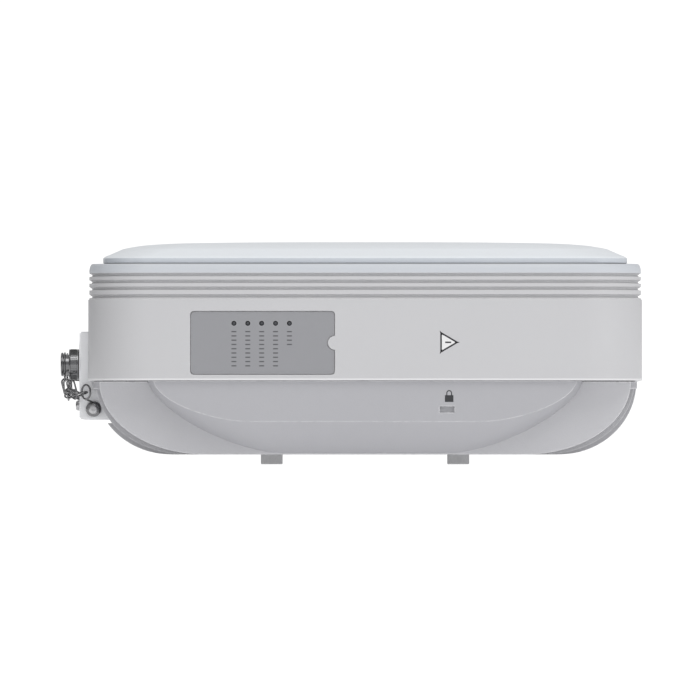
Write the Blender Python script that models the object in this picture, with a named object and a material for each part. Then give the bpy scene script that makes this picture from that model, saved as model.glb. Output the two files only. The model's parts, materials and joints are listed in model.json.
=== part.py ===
# Outdoor network terminal lying on its back: +Z through the radome, ports on the -X side.
# Every size is in metres. The origin is under the middle of the whole object, at its feet.
import math

import bmesh
import bpy
from mathutils import Matrix, Vector

MM = 0.001

# --- driving dimensions -------------------------------------------------------------------
GAP = 0.3 * MM                    # clearance between neighbouring pieces

BODY_WIDTH = 259.8 * MM           # front housing, across both X and Y
BODY_HALF = BODY_WIDTH / 2
BODY_CORNER = 28.5 * MM           # plan radius of the housing's corners
FOOT_HEIGHT = 4.7 * MM            # mounting bosses below the fins
BASE_TOP = 39.0 * MM              # top face of the heat sink base
TOTAL_HEIGHT = 105.0 * MM         # crown of the radome
RADOME_RISE = 11.0 * MM
HOUSING_TOP = TOTAL_HEIGHT - RADOME_RISE    # rim that the radome stands on

HOUSING_WALL = 3.2 * MM
BAND_BOTTOM = HOUSING_TOP - 16.6 * MM       # lower step of the grooved band
BAND_INSET = 0.5 * MM
GROOVE_HEIGHTS = [HOUSING_TOP - below * MM for below in (15.2, 11.6, 8.4, 5.2)]
GROOVE_WIDTH = 1.7 * MM
GROOVE_DEPTH = 0.9 * MM
RIM_ROUND_X = 1.6 * MM
RIM_ROUND_Z = 3.7 * MM
FLANGE_THICK = 3.0 * MM           # housing's bottom flange
SHELF_WIDTH = 17.0 * MM           # housing's top shelf, under the radome
SHELF_THICK = 4.0 * MM

RADOME_MARGIN = 7.0 * MM          # housing rim left bare around the radome
RADOME_HALF = BODY_HALF - RADOME_MARGIN
RADOME_LIP = 2.3 * MM             # upright edge of the radome
RADOME_WALL = 2.4 * MM

BASE_HALF_X = BODY_HALF - 2.4 * MM          # top plate of the base
BASE_HALF_Y = BODY_HALF - 17.6 * MM
BASE_PLATE = 3.7 * MM
FIN_COUNT = 19
FIN_THICK = 2.6 * MM
FIN_RADIUS = 36.0 * MM            # rounding of a full fin's lower corners
FLOOR_BOTTOM = 18.0 * MM
FLOOR_TOP = 22.0 * MM
CAVITY_LEFT = 29.9 * MM - BODY_HALF         # inside of the tub
CAVITY_RIGHT = BODY_HALF - 21.9 * MM
CAVITY_HALF_Y = BODY_HALF - 28.4 * MM
TUB_WALL = 4.0 * MM

PAD_HALF = 102.0 * MM             # raised side pad, at the top plate
PAD_FLAT = 54.0 * MM              # straight part of its crease line
PAD_CREASE = 20.0 * MM            # height of the crease line
PAD_FACE_Y = BODY_HALF - 2.2 * MM

BOSS_SPACING = 88.4 * MM          # mounting bosses, square pattern
BOSS_DIAMETER = 10.0 * MM
BOSS_HOLE = 5.2 * MM
BOSS_HOLE_DEPTH = 13.0 * MM

LOCK_SLOT = (7.0 * MM, 3.0 * MM)  # security lock slot, width and height
LOCK_SLOT_X = 38.3 * MM
LOCK_SLOT_Z = 25.7 * MM
LOCK_SLOT_DEPTH = 9.0 * MM

LABEL_X = 81.9 * MM - BODY_HALF   # centre of the indicator label
LABEL_Z = 56.85 * MM
LABEL_SIZE = (67.8 * MM, 29.9 * MM)
LABEL_RECESS = 1.4 * MM
LABEL_THICK = 0.6 * MM
LABEL_CORNER = 1.8 * MM
LABEL_KEY = 3.3 * MM              # radius of the key tab at its right edge
LED_COUNT = 5
LED_PITCH = 6.49 * MM
LED_FIRST_X = LABEL_X - 13.4 * MM
LED_Z = 66.0 * MM
LED_DIAMETER = 1.8 * MM

PANEL_FACE = BODY_HALF + 4.3 * MM           # outer face, distance from the body's centre
PANEL_BACK = BODY_HALF - 17.3 * MM
PANEL_HALF_Y = BODY_HALF - 41.9 * MM
PANEL_BOTTOM = 21.3 * MM
PANEL_TOP = 62.4 * MM
PANEL_WALL = 3.0 * MM
PANEL_FRONT = 5.0 * MM

PORT_Z = 47.0 * MM
PORT_SPACING = PANEL_HALF_Y - 11.0 * MM
THREAD_DIAMETER = 11.4 * MM
THREAD_PITCH = 1.0 * MM
CAP_TURNS = 1.25                  # turns of the thread that free a cap
COLLAR_BODY = 12.0 * MM           # the collar behind the panel's face
COLLAR_FLANGE = 19.0 * MM
CAP_REACH = 9.0 * MM              # a cap's outer end stands this far off the panel
CAP_DIAMETER = 14.4 * MM
KNOB_DIAMETER = 11.2 * MM
KNOB_LENGTH = 1.3 * MM
NECK_DIAMETER = 9.4 * MM

WIRE = 1.0 * MM                   # chain link wire
RING_WIRE = 0.8 * MM
LINK_BEND = 1.8 * MM              # centre-line radius of a link's round ends
LINK_STRAIGHT = 4.4 * MM
EYE_RADIUS = 3.4 * MM             # lug's eye, centre line
EYE_STANDOFF = 6.3 * MM
EYE_RISE = 8.0 * MM               # height of the eye's centre above the lug's screw
EYELET_SLACK = 0.6 * MM           # how far the first link hangs below its eyelet's centre
EYELET_LEAN = (-0.5, 0.5, 0.5)    # sideways lean of each port's eyelet
LUG_HOLE = 3.6 * MM
LUG_WASHER = 7.2 * MM

BOARD_THICK = 1.6 * MM
REFLECTOR_Z = 60.0 * MM           # underside of the antenna reflector
SEAL_WIDTH = 2.4 * MM
HOUSING_SEAL_HALF_Y = BODY_HALF - 22.4 * MM    # centre line, between base and housing
HOUSING_SEAL_LEFT = 23.9 * MM - BODY_HALF
HOUSING_SEAL_RIGHT = BODY_HALF - 16.4 * MM
RADOME_SEAL_INSET = 11.2 * MM
SCREW_DIAMETER = 4.0 * MM
SCREW_HEAD = 7.0 * MM
COVER_BOSS = 8.4 * MM             # housing bosses that take the cover screws
BOSS_TOP = 52.0 * MM
POST_PLACE = BODY_HALF - 35.9 * MM          # reflector posts, in X and Y
BOARD_HALF_X = BODY_HALF - 39.9 * MM
BOARD_HALF_Y = BODY_HALF - 45.9 * MM
PORT_BOARD_X = BODY_HALF - 12.9 * MM
GROUND_Y = 38.0 * MM
OPTICAL_PORT = 3                  # the other ports are electrical
CORNER_STEPS = 5
ROUND_STEPS = 18

# --- sizes that follow from them ------------------------------------------------------------
HOUSING_BOTTOM = BASE_TOP + GAP
BODY_X = (PANEL_FACE + CAP_REACH - BODY_HALF) / 2
FIN_PITCH = 2 * (BASE_HALF_Y - FIN_THICK / 2) / (FIN_COUNT - 1)
BOARD_Z = FLOOR_TOP + 5.0 * MM
NECK_LENGTH = CAP_TURNS * THREAD_PITCH + RING_WIRE + 2 * GAP
BULKHEAD_FACE = PANEL_BACK - 0.9 * MM
BULKHEAD_BACK = BULKHEAD_FACE - 3.0 * MM
PORT_PLACES = (-PORT_SPACING, 0, PORT_SPACING)
COVER_SCREWS = [(x * (BODY_HALF - 9.9 * MM), y * (BODY_HALF - 25.1 * MM))
                for x in (-1, 1) for y in (-1, 1)]
LUG_X = 6.6 * MM - PANEL_FACE     # the side lugs' screws
PANEL_SCREWS = [(y * 55 * MM, 29 * MM) for y in (-1, 1)]
X_AXIS = Vector((1, 0, 0))
Y_AXIS = Vector((0, 1, 0))
Z_AXIS = Vector((0, 0, 1))
# Each chain's lug: its seat on the panel, the way its eye lies, the panel's normal, and the sag.
LUGS = (
    (Vector((LUG_X, -PANEL_HALF_Y, 26 * MM)), -X_AXIS, -Y_AXIS, Vector((-0.15, -0.2, -1))),
    (Vector((-PANEL_FACE, 22.5 * MM, 28 * MM)), -Y_AXIS, -X_AXIS, Vector((0, 0, -1))),
    (Vector((LUG_X, PANEL_HALF_Y, 26 * MM)), -X_AXIS, Y_AXIS, Vector((-0.15, 0.2, -1))),
)


# --- helpers ----------------------------------------------------------------------------------
def clear_scene():
    for item in list(bpy.data.objects):
        bpy.data.objects.remove(item)


def material(name, color, roughness, metallic=0.0):
    made = bpy.data.materials.new(name)
    made.use_nodes = True
    shader = made.node_tree.nodes["Principled BSDF"]
    shader.inputs["Base Color"].default_value = (*color, 1.0)
    shader.inputs["Roughness"].default_value = roughness
    shader.inputs["Metallic"].default_value = metallic
    return made


def add_empty(name, location, parent=None):
    empty = bpy.data.objects.new(name, None)
    empty.location = location
    empty.parent = parent
    bpy.context.collection.objects.link(empty)
    return empty


def add_object(name, shape, look=None, parent=None, location=(0, 0, 0), sharp=35):
    """Turn a bmesh into a named object with its faces pointing out."""
    bmesh.ops.recalc_face_normals(shape, faces=shape.faces)
    mesh = bpy.data.meshes.new(name)
    shape.to_mesh(mesh)
    shape.free()
    mesh.shade_smooth()
    mesh.set_sharp_from_angle(angle=math.radians(sharp))
    made = bpy.data.objects.new(name, mesh)
    made.location = location
    made.parent = parent
    if look:
        mesh.materials.append(look)
    bpy.context.collection.objects.link(made)
    return made


def combine(target, tool, operation):
    """Boolean of two objects; the tool stays as a hidden wire guide."""
    cut = target.modifiers.new(tool.name, "BOOLEAN")
    cut.operation = operation
    cut.solver = "EXACT"
    cut.use_self = True
    cut.object = tool
    tool.hide_render = True
    tool.display_type = "WIRE"


def loft(shape, rings, closed=False):
    """Skin rings of equal length; open lofts are capped, closed ones meet themselves."""
    rows = [[shape.verts.new(point) for point in ring] for ring in rings]
    pairs = list(zip(rows, rows[1:]))
    if closed:
        pairs.append((rows[-1], rows[0]))
    else:
        shape.faces.new(rows[0])
        shape.faces.new(rows[-1])
    count = len(rows[0])
    for near, far in pairs:
        for i in range(count):
            after = (i + 1) % count
            shape.faces.new((near[i], near[after], far[after], far[i]))
    return shape


def rounded_ring(half_x, half_y, radius, z, center_x=0.0, steps=CORNER_STEPS):
    """Rounded rectangle in plan, as points running anticlockwise."""
    points = []
    for quarter, (sign_x, sign_y) in enumerate(((1, 1), (-1, 1), (-1, -1), (1, -1))):
        for step in range(steps + 1):
            turn = math.radians(90 * (quarter + step / steps))
            x = center_x + sign_x * (half_x - radius) + radius * math.cos(turn)
            y = sign_y * (half_y - radius) + radius * math.sin(turn)
            points.append((x, y, z))
    return points


def body_ring(inset, z):
    """Ring of the housing's plan shape, moved inwards."""
    half = BODY_HALF - inset
    return rounded_ring(half, half, max(BODY_CORNER - inset, 6 * MM), z)


def box(shape, low, high):
    """Axis-aligned block between two corners."""
    size = [high[i] - low[i] for i in range(3)]
    middle = [(high[i] + low[i]) / 2 for i in range(3)]
    place = Matrix.Translation(middle) @ Matrix.Diagonal((*size, 1))
    bmesh.ops.create_cube(shape, size=1, matrix=place)
    return shape


def extrude_outline(shape, outline, axis, low, high):
    """Prism of a 2-D outline given in the other two axes, between two places on the axis."""
    def placed(pair, along):
        values = list(pair)
        values.insert(axis, along)
        return values
    return loft(shape, [[placed(pair, low) for pair in outline],
                        [placed(pair, high) for pair in outline]])


def frame_along(axis):
    """Two unit vectors square to an axis."""
    axis = axis.normalized()
    side = axis.cross(Z_AXIS if abs(axis.z) < 0.9 else X_AXIS).normalized()
    return side, axis.cross(side)


def turned(shape, profile, axis, origin=(0, 0, 0), steps=ROUND_STEPS, closed=False):
    """Solid turned about an axis; the profile gives (distance along it, radius)."""
    side, up = frame_along(axis)
    origin = Vector(origin)
    rings = []
    for along, radius in profile:
        center = origin + axis * along
        turns = [2 * math.pi * i / steps for i in range(steps)]
        rings.append([center + (side * math.cos(t) + up * math.sin(t)) * radius for t in turns])
    return loft(shape, rings, closed)


def wire_loop(shape, path, radius, sides=5):
    """Round wire swept along a closed flat path."""
    count = len(path)
    middle = sum(path, Vector()) / count
    normal = (path[0] - middle).cross(path[count // 4] - middle).normalized()
    rings = []
    for i, point in enumerate(path):
        tangent = (path[(i + 1) % count] - path[i - 1]).normalized()
        outward = tangent.cross(normal)
        turns = [2 * math.pi * k / sides for k in range(sides)]
        rings.append([point + (outward * math.cos(t) + normal * math.sin(t)) * radius for t in turns])
    return loft(shape, rings, closed=True)


def circle_path(center, normal, radius, steps):
    side, up = frame_along(normal)
    turns = [2 * math.pi * i / steps for i in range(steps)]
    return [center + (side * math.cos(t) + up * math.sin(t)) * radius for t in turns]


def screw(name, look, parent, seat, axis, head, shank, drive=0.45):
    """Socket screw: head (diameter, height) above its seat, shank (diameter, length) below."""
    head_radius, head_height = head[0] / 2, head[1]
    socket = head_radius * drive
    chamfer = 0.3 * MM
    profile = ((-shank[1], shank[0] / 2 - chamfer), (chamfer - shank[1], shank[0] / 2),
               (0, shank[0] / 2), (0, head_radius), (head_height - chamfer, head_radius),
               (head_height, head_radius - chamfer), (head_height, socket),
               (head_height * 0.45, socket))
    return add_object(name, turned(bmesh.new(), profile, axis, steps=10), look, parent, seat)


# --- heat sink base ---------------------------------------------------------------------------
def mirrored(right):
    """Outline whose left half repeats the right half."""
    return right + [(-x, z) for x, z in reversed(right)]


def swept_edge(flat, reach, bottom, top, power, steps):
    """Right half of a hull-like outline: flat below, rising to full reach at the top."""
    points = []
    for step in range(steps + 1):
        turn = math.radians(90 * step / steps)
        across = math.sin(turn) ** (2 / power)
        down = math.cos(turn) ** (2 / power)
        points.append((flat + (reach - flat) * across, top - (top - bottom) * down))
    return points


def add_fins(shape):
    """Cooling fins along X; the outer two on each side are shorter."""
    sizes = {0: (75 * MM, BASE_HALF_X - 3 * MM), 1: (84 * MM, BASE_HALF_X - 1.2 * MM)}
    full = (BASE_HALF_X - FIN_RADIUS, BASE_HALF_X)
    for i in range(FIN_COUNT):
        y = (i - (FIN_COUNT - 1) / 2) * FIN_PITCH
        flat, reach = sizes.get(min(i, FIN_COUNT - 1 - i), full)
        outline = mirrored(swept_edge(flat, reach, FOOT_HEIGHT, BASE_TOP - 0.2 * MM, 2, 8))
        extrude_outline(shape, outline, 1, y - FIN_THICK / 2, y + FIN_THICK / 2)


def add_side_pad(shape, sign):
    """Raised pad: an upright face above a crease line, sloping back to the fins below it."""
    top = BASE_TOP - 0.1 * MM
    foot = mirrored(swept_edge(40 * MM, PAD_HALF, FOOT_HEIGHT, top, 1.5, 9))
    face = mirrored(swept_edge(PAD_FLAT, PAD_HALF - 3 * MM, PAD_CREASE, top, 1.7, 9))
    depths = ((BASE_HALF_Y - 2 * MM, foot), (BASE_HALF_Y - 0.6 * MM, foot), (PAD_FACE_Y, face))
    loft(shape, [[(x, sign * y, z) for x, z in outline] for y, outline in depths])


def four_corners(x, y):
    return [(sign_x * x, sign_y * y) for sign_x in (-1, 1) for sign_y in (-1, 1)]


def base_additions():
    """Everything cast onto the plate: fins, tub, pads, bulkhead, bosses and inner posts."""
    shape = bmesh.new()
    add_fins(shape)
    wall_y = CAVITY_HALF_Y + TUB_WALL
    box(shape, (-BULKHEAD_FACE, -wall_y, FLOOR_BOTTOM),
        (CAVITY_RIGHT + TUB_WALL, wall_y, BASE_TOP - MM))
    for sign in (-1, 1):
        add_side_pad(shape, sign)
    box(shape, (-BULKHEAD_FACE, -PANEL_HALF_Y, BASE_TOP - 2 * MM),
        (-BULKHEAD_BACK, PANEL_HALF_Y, PANEL_TOP))
    radius = BOSS_DIAMETER / 2
    chamfer = 0.5 * MM
    profile = ((0, radius - chamfer), (chamfer, radius), (FLOOR_BOTTOM + MM, radius))
    for x, y in four_corners(BOSS_SPACING / 2, BOSS_SPACING / 2):
        turned(shape, profile, Z_AXIS, (x, y, 0))
    return shape


def base_posts():
    """Pegs under the main board and tall posts under the antenna reflector."""
    shape = bmesh.new()
    low = FLOOR_TOP - MM
    for x, y in four_corners(BOARD_HALF_X - 10 * MM, BOARD_HALF_Y - 9 * MM):
        turned(shape, ((low, 3.5 * MM), (BOARD_Z - GAP, 3.5 * MM)), Z_AXIS, (x, y, 0), 12)
    for x, y in four_corners(POST_PLACE, POST_PLACE):
        turned(shape, ((low, 4 * MM), (REFLECTOR_Z - GAP, 4 * MM)), Z_AXIS, (x, y, 0), 12)
    return shape


def seal_rings(grow, low, high):
    """Path of the seal between base and housing, as a closed set of rings."""
    half_x = (HOUSING_SEAL_RIGHT - HOUSING_SEAL_LEFT) / 2
    middle = (HOUSING_SEAL_RIGHT + HOUSING_SEAL_LEFT) / 2
    side = SEAL_WIDTH / 2 + grow
    corners = ((side, low), (side, high), (-side, high), (-side, low))
    return [rounded_ring(half_x + w, HOUSING_SEAL_HALF_Y + w, 6 * MM + w, z, middle, 4)
            for w, z in corners]


def base_hollows():
    """The tub's cavity, the panel's notch, the bulkhead's window and every hole."""
    shape = bmesh.new()
    middle = (CAVITY_LEFT + CAVITY_RIGHT) / 2
    half = (CAVITY_RIGHT - CAVITY_LEFT) / 2
    loft(shape, [rounded_ring(half, CAVITY_HALF_Y, 6 * MM, z, middle, 3)
                 for z in (FLOOR_TOP, BASE_TOP + MM)])
    notch = PANEL_HALF_Y + 2 * MM
    box(shape, (-BODY_HALF, -notch, PANEL_BOTTOM - 2 * MM), (-BULKHEAD_FACE, notch, PANEL_TOP + MM))
    box(shape, (-BULKHEAD_FACE - MM, -40 * MM, BASE_TOP + 6 * MM),
        (-BULKHEAD_BACK + MM, 40 * MM, PANEL_TOP - 4 * MM))
    loft(shape, seal_rings(GAP, BASE_TOP - 1.5 * MM, BASE_TOP + 0.5 * MM), closed=True)
    width, height = LOCK_SLOT
    box(shape, (LOCK_SLOT_X - width / 2, -PAD_FACE_Y - MM, LOCK_SLOT_Z - height / 2),
        (LOCK_SLOT_X + width / 2, -PAD_FACE_Y + LOCK_SLOT_DEPTH, LOCK_SLOT_Z + height / 2))
    for x, y in four_corners(BOSS_SPACING / 2, BOSS_SPACING / 2):
        turned(shape, ((-MM, BOSS_HOLE / 2), (BOSS_HOLE_DEPTH, BOSS_HOLE / 2)), Z_AXIS, (x, y, 0), 12)
    hole = SCREW_DIAMETER / 2 + GAP
    for x, y in COVER_SCREWS:
        turned(shape, ((BASE_TOP - 8 * MM, hole), (BASE_TOP + MM, hole)), Z_AXIS, (x, y, 0), 12)
    for y, z in PANEL_SCREWS:
        turned(shape, ((-PANEL_BACK - MM, hole), (8.6 * MM - PANEL_BACK, hole)), X_AXIS, (0, y, z), 12)
    return shape


def heat_sink_base(body):
    paint = material("die_cast_grey_paint", (0.50, 0.50, 0.53), 0.55)
    plate = loft(bmesh.new(), [rounded_ring(BASE_HALF_X, BASE_HALF_Y, 7 * MM, z)
                               for z in (BASE_TOP - BASE_PLATE, BASE_TOP)])
    base = add_object("heat_sink_base", plate, paint, body)
    combine(base, add_object("cut_base_additions", base_additions(), parent=body), "UNION")
    combine(base, add_object("cut_base_hollows", base_hollows(), parent=body), "DIFFERENCE")
    combine(base, add_object("cut_base_posts", base_posts(), parent=body), "UNION")


def housing_gasket(body):
    rubber = material("seal_rubber", (0.03, 0.03, 0.03), 0.8)
    rings = seal_rings(0, BASE_TOP - 1.2 * MM, BASE_TOP)
    add_object("housing_gasket", loft(bmesh.new(), rings, closed=True), rubber, body)


# --- front housing and radome -------------------------------------------------------------------
def housing_outside():
    """Outer face from the bottom edge up to the rim, as (inset, height) pairs."""
    points = [(0.5 * MM, HOUSING_BOTTOM), (0, HOUSING_BOTTOM + 0.5 * MM),
              (0, BAND_BOTTOM - 0.4 * MM), (BAND_INSET, BAND_BOTTOM)]
    half = GROOVE_WIDTH / 2
    for middle in GROOVE_HEIGHTS:
        for side, inset in ((-1, 0), (-0.4, GROOVE_DEPTH), (0.4, GROOVE_DEPTH), (1, 0)):
            points.append((BAND_INSET + inset, middle + side * half))
    for step in range(5):
        turn = math.radians(90 * step / 4)
        points.append((BAND_INSET + RIM_ROUND_X * (1 - math.cos(turn)),
                       HOUSING_TOP - RIM_ROUND_Z * (1 - math.sin(turn))))
    return points


def housing_rings():
    """Closed section of the housing, turned into rings around the body."""
    side = SEAL_WIDTH / 2 + GAP
    groove = HOUSING_TOP - 1.5 * MM
    inside = ((RADOME_SEAL_INSET - side, HOUSING_TOP), (RADOME_SEAL_INSET - side, groove),
              (RADOME_SEAL_INSET + side, groove), (RADOME_SEAL_INSET + side, HOUSING_TOP),
              (SHELF_WIDTH, HOUSING_TOP), (SHELF_WIDTH, HOUSING_TOP - SHELF_THICK),
              (HOUSING_WALL, HOUSING_TOP - SHELF_THICK),
              (HOUSING_WALL, HOUSING_BOTTOM + FLANGE_THICK))
    rings = [body_ring(inset, z) for inset, z in housing_outside() + list(inside)]
    opening_x = -HOUSING_SEAL_LEFT - 3 * MM
    for z in (HOUSING_BOTTOM + FLANGE_THICK, HOUSING_BOTTOM):
        rings.append(rounded_ring(opening_x, CAVITY_HALF_Y + MM, 6 * MM, z))
    return rings


def label_outline(shrink):
    """Label seen from the front: round corners and a half-round bite in its right edge."""
    half_x = LABEL_SIZE[0] / 2 - shrink
    half_z = LABEL_SIZE[1] / 2 - shrink
    plain = rounded_ring(half_x, half_z, LABEL_CORNER, 0, steps=3)
    points = [(x, z) for x, z, _ in plain]
    key = LABEL_KEY + shrink
    bite = []
    for step in range(9):
        turn = math.radians(-90 + 180 * step / 8)
        bite.append((half_x - key * math.cos(turn), key * math.sin(turn)))
    outline = points + bite
    return [(LABEL_X + x, LABEL_Z + z) for x, z in outline]


def led_places():
    return [LED_FIRST_X + i * LED_PITCH for i in range(LED_COUNT)]


def housing_bosses():
    shape = bmesh.new()
    low = HOUSING_BOTTOM + 0.5 * MM
    for x, y in COVER_SCREWS:
        turned(shape, ((low, COVER_BOSS / 2), (BOSS_TOP, COVER_BOSS / 2)), Z_AXIS, (x, y, 0), 12)
    return shape


def housing_hollows():
    """Label recess, light holes, panel cut-out and the screws' blind holes."""
    shape = bmesh.new()
    extrude_outline(shape, label_outline(0), 1, -BODY_HALF - MM, -BODY_HALF + LABEL_RECESS)
    for x in led_places():
        profile = ((-BODY_HALF, LED_DIAMETER / 2 + GAP),
                   (-BODY_HALF + HOUSING_WALL + MM, LED_DIAMETER / 2 + GAP))
        turned(shape, profile, Y_AXIS, (x, 0, LED_Z), 12)
    side = PANEL_HALF_Y + GAP
    box(shape, (-BODY_HALF - MM, -side, BASE_TOP - MM),
        (-BULKHEAD_BACK + GAP, side, PANEL_TOP + GAP))
    hole = SCREW_DIAMETER / 2 + GAP
    for x, y in COVER_SCREWS:
        profile = ((BASE_TOP - MM, hole), (BOSS_TOP - 2 * MM, hole))
        turned(shape, profile, Z_AXIS, (x, y, 0), 12)
    return shape


def front_housing(body):
    plastic = material("housing_light_grey_plastic", (0.60, 0.60, 0.62), 0.45)
    ring = loft(bmesh.new(), housing_rings(), closed=True)
    housing = add_object("front_housing", ring, plastic, body)
    combine(housing, add_object("cut_housing_bosses", housing_bosses(), parent=body), "UNION")
    combine(housing, add_object("cut_housing_hollows", housing_hollows(), parent=body),
            "DIFFERENCE")


def radome_gasket(body):
    rubber = material("radome_seal_rubber", (0.03, 0.03, 0.03), 0.8)
    side = SEAL_WIDTH / 2
    low, high = HOUSING_TOP - 1.2 * MM, HOUSING_TOP
    corners = ((-side, low), (-side, high), (side, high), (side, low))
    rings = [body_ring(RADOME_SEAL_INSET + w, z) for w, z in corners]
    add_object("radome_gasket", loft(bmesh.new(), rings, closed=True), rubber, body)


def dome_ring(inset, z):
    """Ring of the radome's plan shape; its corners grow rounder towards the crown."""
    half = RADOME_HALF - inset
    corner = BODY_CORNER - (BODY_HALF - RADOME_HALF) + 0.35 * inset
    return rounded_ring(half, half, min(corner, half), z)


def radome_cover(body):
    """Shallow dome shell: inner skin down to the foot, then the outer skin up to the crown."""
    white = material("radome_white_plastic", (0.78, 0.81, 0.84), 0.35)
    low = HOUSING_TOP + GAP
    lip_top = low + RADOME_LIP
    drops = ((1.1, 7.5), (3.2, 6.6), (7.4, 4.7), (9.7, 3.75), (14.4, 2.8), (20, 1.95),
             (33.6, 0.95), (60, 0.3), (95, 0))
    inner = ((95, 0), (60, 0.3), (33.6, 0.95), (20, 1.95), (12, 3.6), (9, 4.6))
    rings = [dome_ring(i * MM, TOTAL_HEIGHT - RADOME_WALL - d * MM) for i, d in inner]
    rings.append(dome_ring(9 * MM, low))
    rings.append(dome_ring(0.3 * MM, low))
    rings.append(dome_ring(0, low + 0.3 * MM))
    rings.append(dome_ring(0, lip_top))
    rings += [dome_ring(i * MM, TOTAL_HEIGHT - d * MM) for i, d in drops]
    add_object("radome_cover", loft(bmesh.new(), rings), white, body, sharp=25)


# --- indicators -----------------------------------------------------------------------------------
def led_label(body):
    grey = material("label_grey_film", (0.37, 0.37, 0.40), 0.5)
    back = -BODY_HALF + LABEL_RECESS - GAP
    shape = extrude_outline(bmesh.new(), label_outline(GAP), 1, back - LABEL_THICK, back)
    label = add_object("led_label", shape, grey, body)
    holes = bmesh.new()
    for x in led_places():
        profile = ((-BODY_HALF, LED_DIAMETER / 2 + GAP), (back + MM, LED_DIAMETER / 2 + GAP))
        turned(holes, profile, Y_AXIS, (x, 0, LED_Z), 12)
    combine(label, add_object("cut_label_holes", holes, parent=body), "DIFFERENCE")


def led_light_guide(body):
    """Comb of clear pipes that carries the indicators' light through the wall."""
    clear = material("light_guide_acrylic", (0.08, 0.09, 0.10), 0.15)
    back = -BODY_HALF + HOUSING_WALL + GAP
    bar = box(bmesh.new(), (LED_FIRST_X - 3 * MM, back, LED_Z - 2 * MM),
              (led_places()[-1] + 3 * MM, back + 3 * MM, LED_Z + 2 * MM))
    guide = add_object("led_light_guide", bar, clear, body)
    pipes = bmesh.new()
    for x in led_places():
        profile = ((-BODY_HALF + 0.5 * MM, LED_DIAMETER / 2), (back + 2 * MM, LED_DIAMETER / 2))
        turned(pipes, profile, Y_AXIS, (x, 0, LED_Z), 12)
    combine(guide, add_object("cut_guide_pipes", pipes, parent=body), "UNION")
    board = material("led_board_green", (0.02, 0.12, 0.05), 0.4)
    front = back + 3 * MM + GAP
    shape = box(bmesh.new(), (LED_FIRST_X - 5 * MM, front, LED_Z - 8 * MM),
                (led_places()[-1] + 5 * MM, front + BOARD_THICK, LED_Z + 6 * MM))
    add_object("led_board", shape, board, body)


# --- inside -----------------------------------------------------------------------------------------
def strip_outline(path, thickness):
    """Flat strip seen from its edge, with square ends."""
    upper, lower = [], []
    for i, point in enumerate(path):
        before = Vector(path[max(i - 1, 0)])
        after = Vector(path[min(i + 1, len(path) - 1)])
        along = (after - before).normalized()
        across = Vector((-along.y, along.x)) * thickness / 2
        upper.append(tuple(Vector(point) + across))
        lower.append(tuple(Vector(point) - across))
    return upper + lower[::-1]


def main_boards(body):
    green = material("circuit_board_green", (0.02, 0.12, 0.05), 0.4)
    shape = box(bmesh.new(), (-BOARD_HALF_X, -BOARD_HALF_Y, BOARD_Z),
                (BOARD_HALF_X, BOARD_HALF_Y, BOARD_Z + BOARD_THICK))
    add_object("main_board", shape, green, body)
    shape = box(bmesh.new(), (-PORT_BOARD_X - BOARD_THICK, 6 * MM - PANEL_HALF_Y, 32 * MM),
                (-PORT_BOARD_X, PANEL_HALF_Y - 6 * MM, 57 * MM))
    add_object("port_board", shape, green, body)
    film = material("flex_cable_film", (0.35, 0.16, 0.03), 0.4)
    top = BOARD_Z + BOARD_THICK + 0.6 * MM
    bends = ((17, 51 * MM), (21, 49 * MM), (22, 44 * MM), (23, top + 6 * MM), (25, top + MM),
             (29, top), (37, top))
    path = [(0.5 * MM - PORT_BOARD_X, 51 * MM)]
    path += [(away * MM - PORT_BOARD_X, z) for away, z in bends]
    shape = extrude_outline(bmesh.new(), strip_outline(path, 0.5 * MM), 1, -18 * MM, 18 * MM)
    add_object("port_flex_cable", shape, film, body)


def board_parts(body):
    """Shielded radio, heat pad, transformer and optical transceiver."""
    tin = material("shield_tin", (0.75, 0.75, 0.76), 0.3, 1.0)
    low = BOARD_Z + BOARD_THICK + GAP
    can = box(bmesh.new(), (-20 * MM, -35 * MM, low), (50 * MM, 35 * MM, low + 6 * MM))
    can_object = add_object("rf_shield_can", can, tin, body)
    hollow = box(bmesh.new(), (-19.4 * MM, -34.4 * MM, low - MM), (49.4 * MM, 34.4 * MM, low + 5.4 * MM))
    combine(can_object, add_object("cut_shield", hollow, parent=body), "DIFFERENCE")
    gel = material("heat_pad_silicone", (0.45, 0.55, 0.70), 0.7)
    shape = box(bmesh.new(), (-10 * MM, -25 * MM, FLOOR_TOP + GAP), (40 * MM, 25 * MM, BOARD_Z - GAP))
    add_object("thermal_pad", shape, gel, body)
    core = material("transformer_black", (0.03, 0.03, 0.03), 0.5)
    shape = box(bmesh.new(), (-70 * MM, -66 * MM, low), (-40 * MM, -36 * MM, low + 14 * MM))
    bmesh.ops.bevel(shape, geom=shape.edges, offset=MM, segments=1, affect="EDGES")
    add_object("power_transformer", shape, core, body)
    shape = box(bmesh.new(), (-72 * MM, 44 * MM, low), (-22 * MM, 58 * MM, low + 9 * MM))
    bmesh.ops.bevel(shape, geom=shape.edges, offset=0.6 * MM, segments=1, affect="EDGES")
    add_object("optical_module", shape, tin, body)


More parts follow.
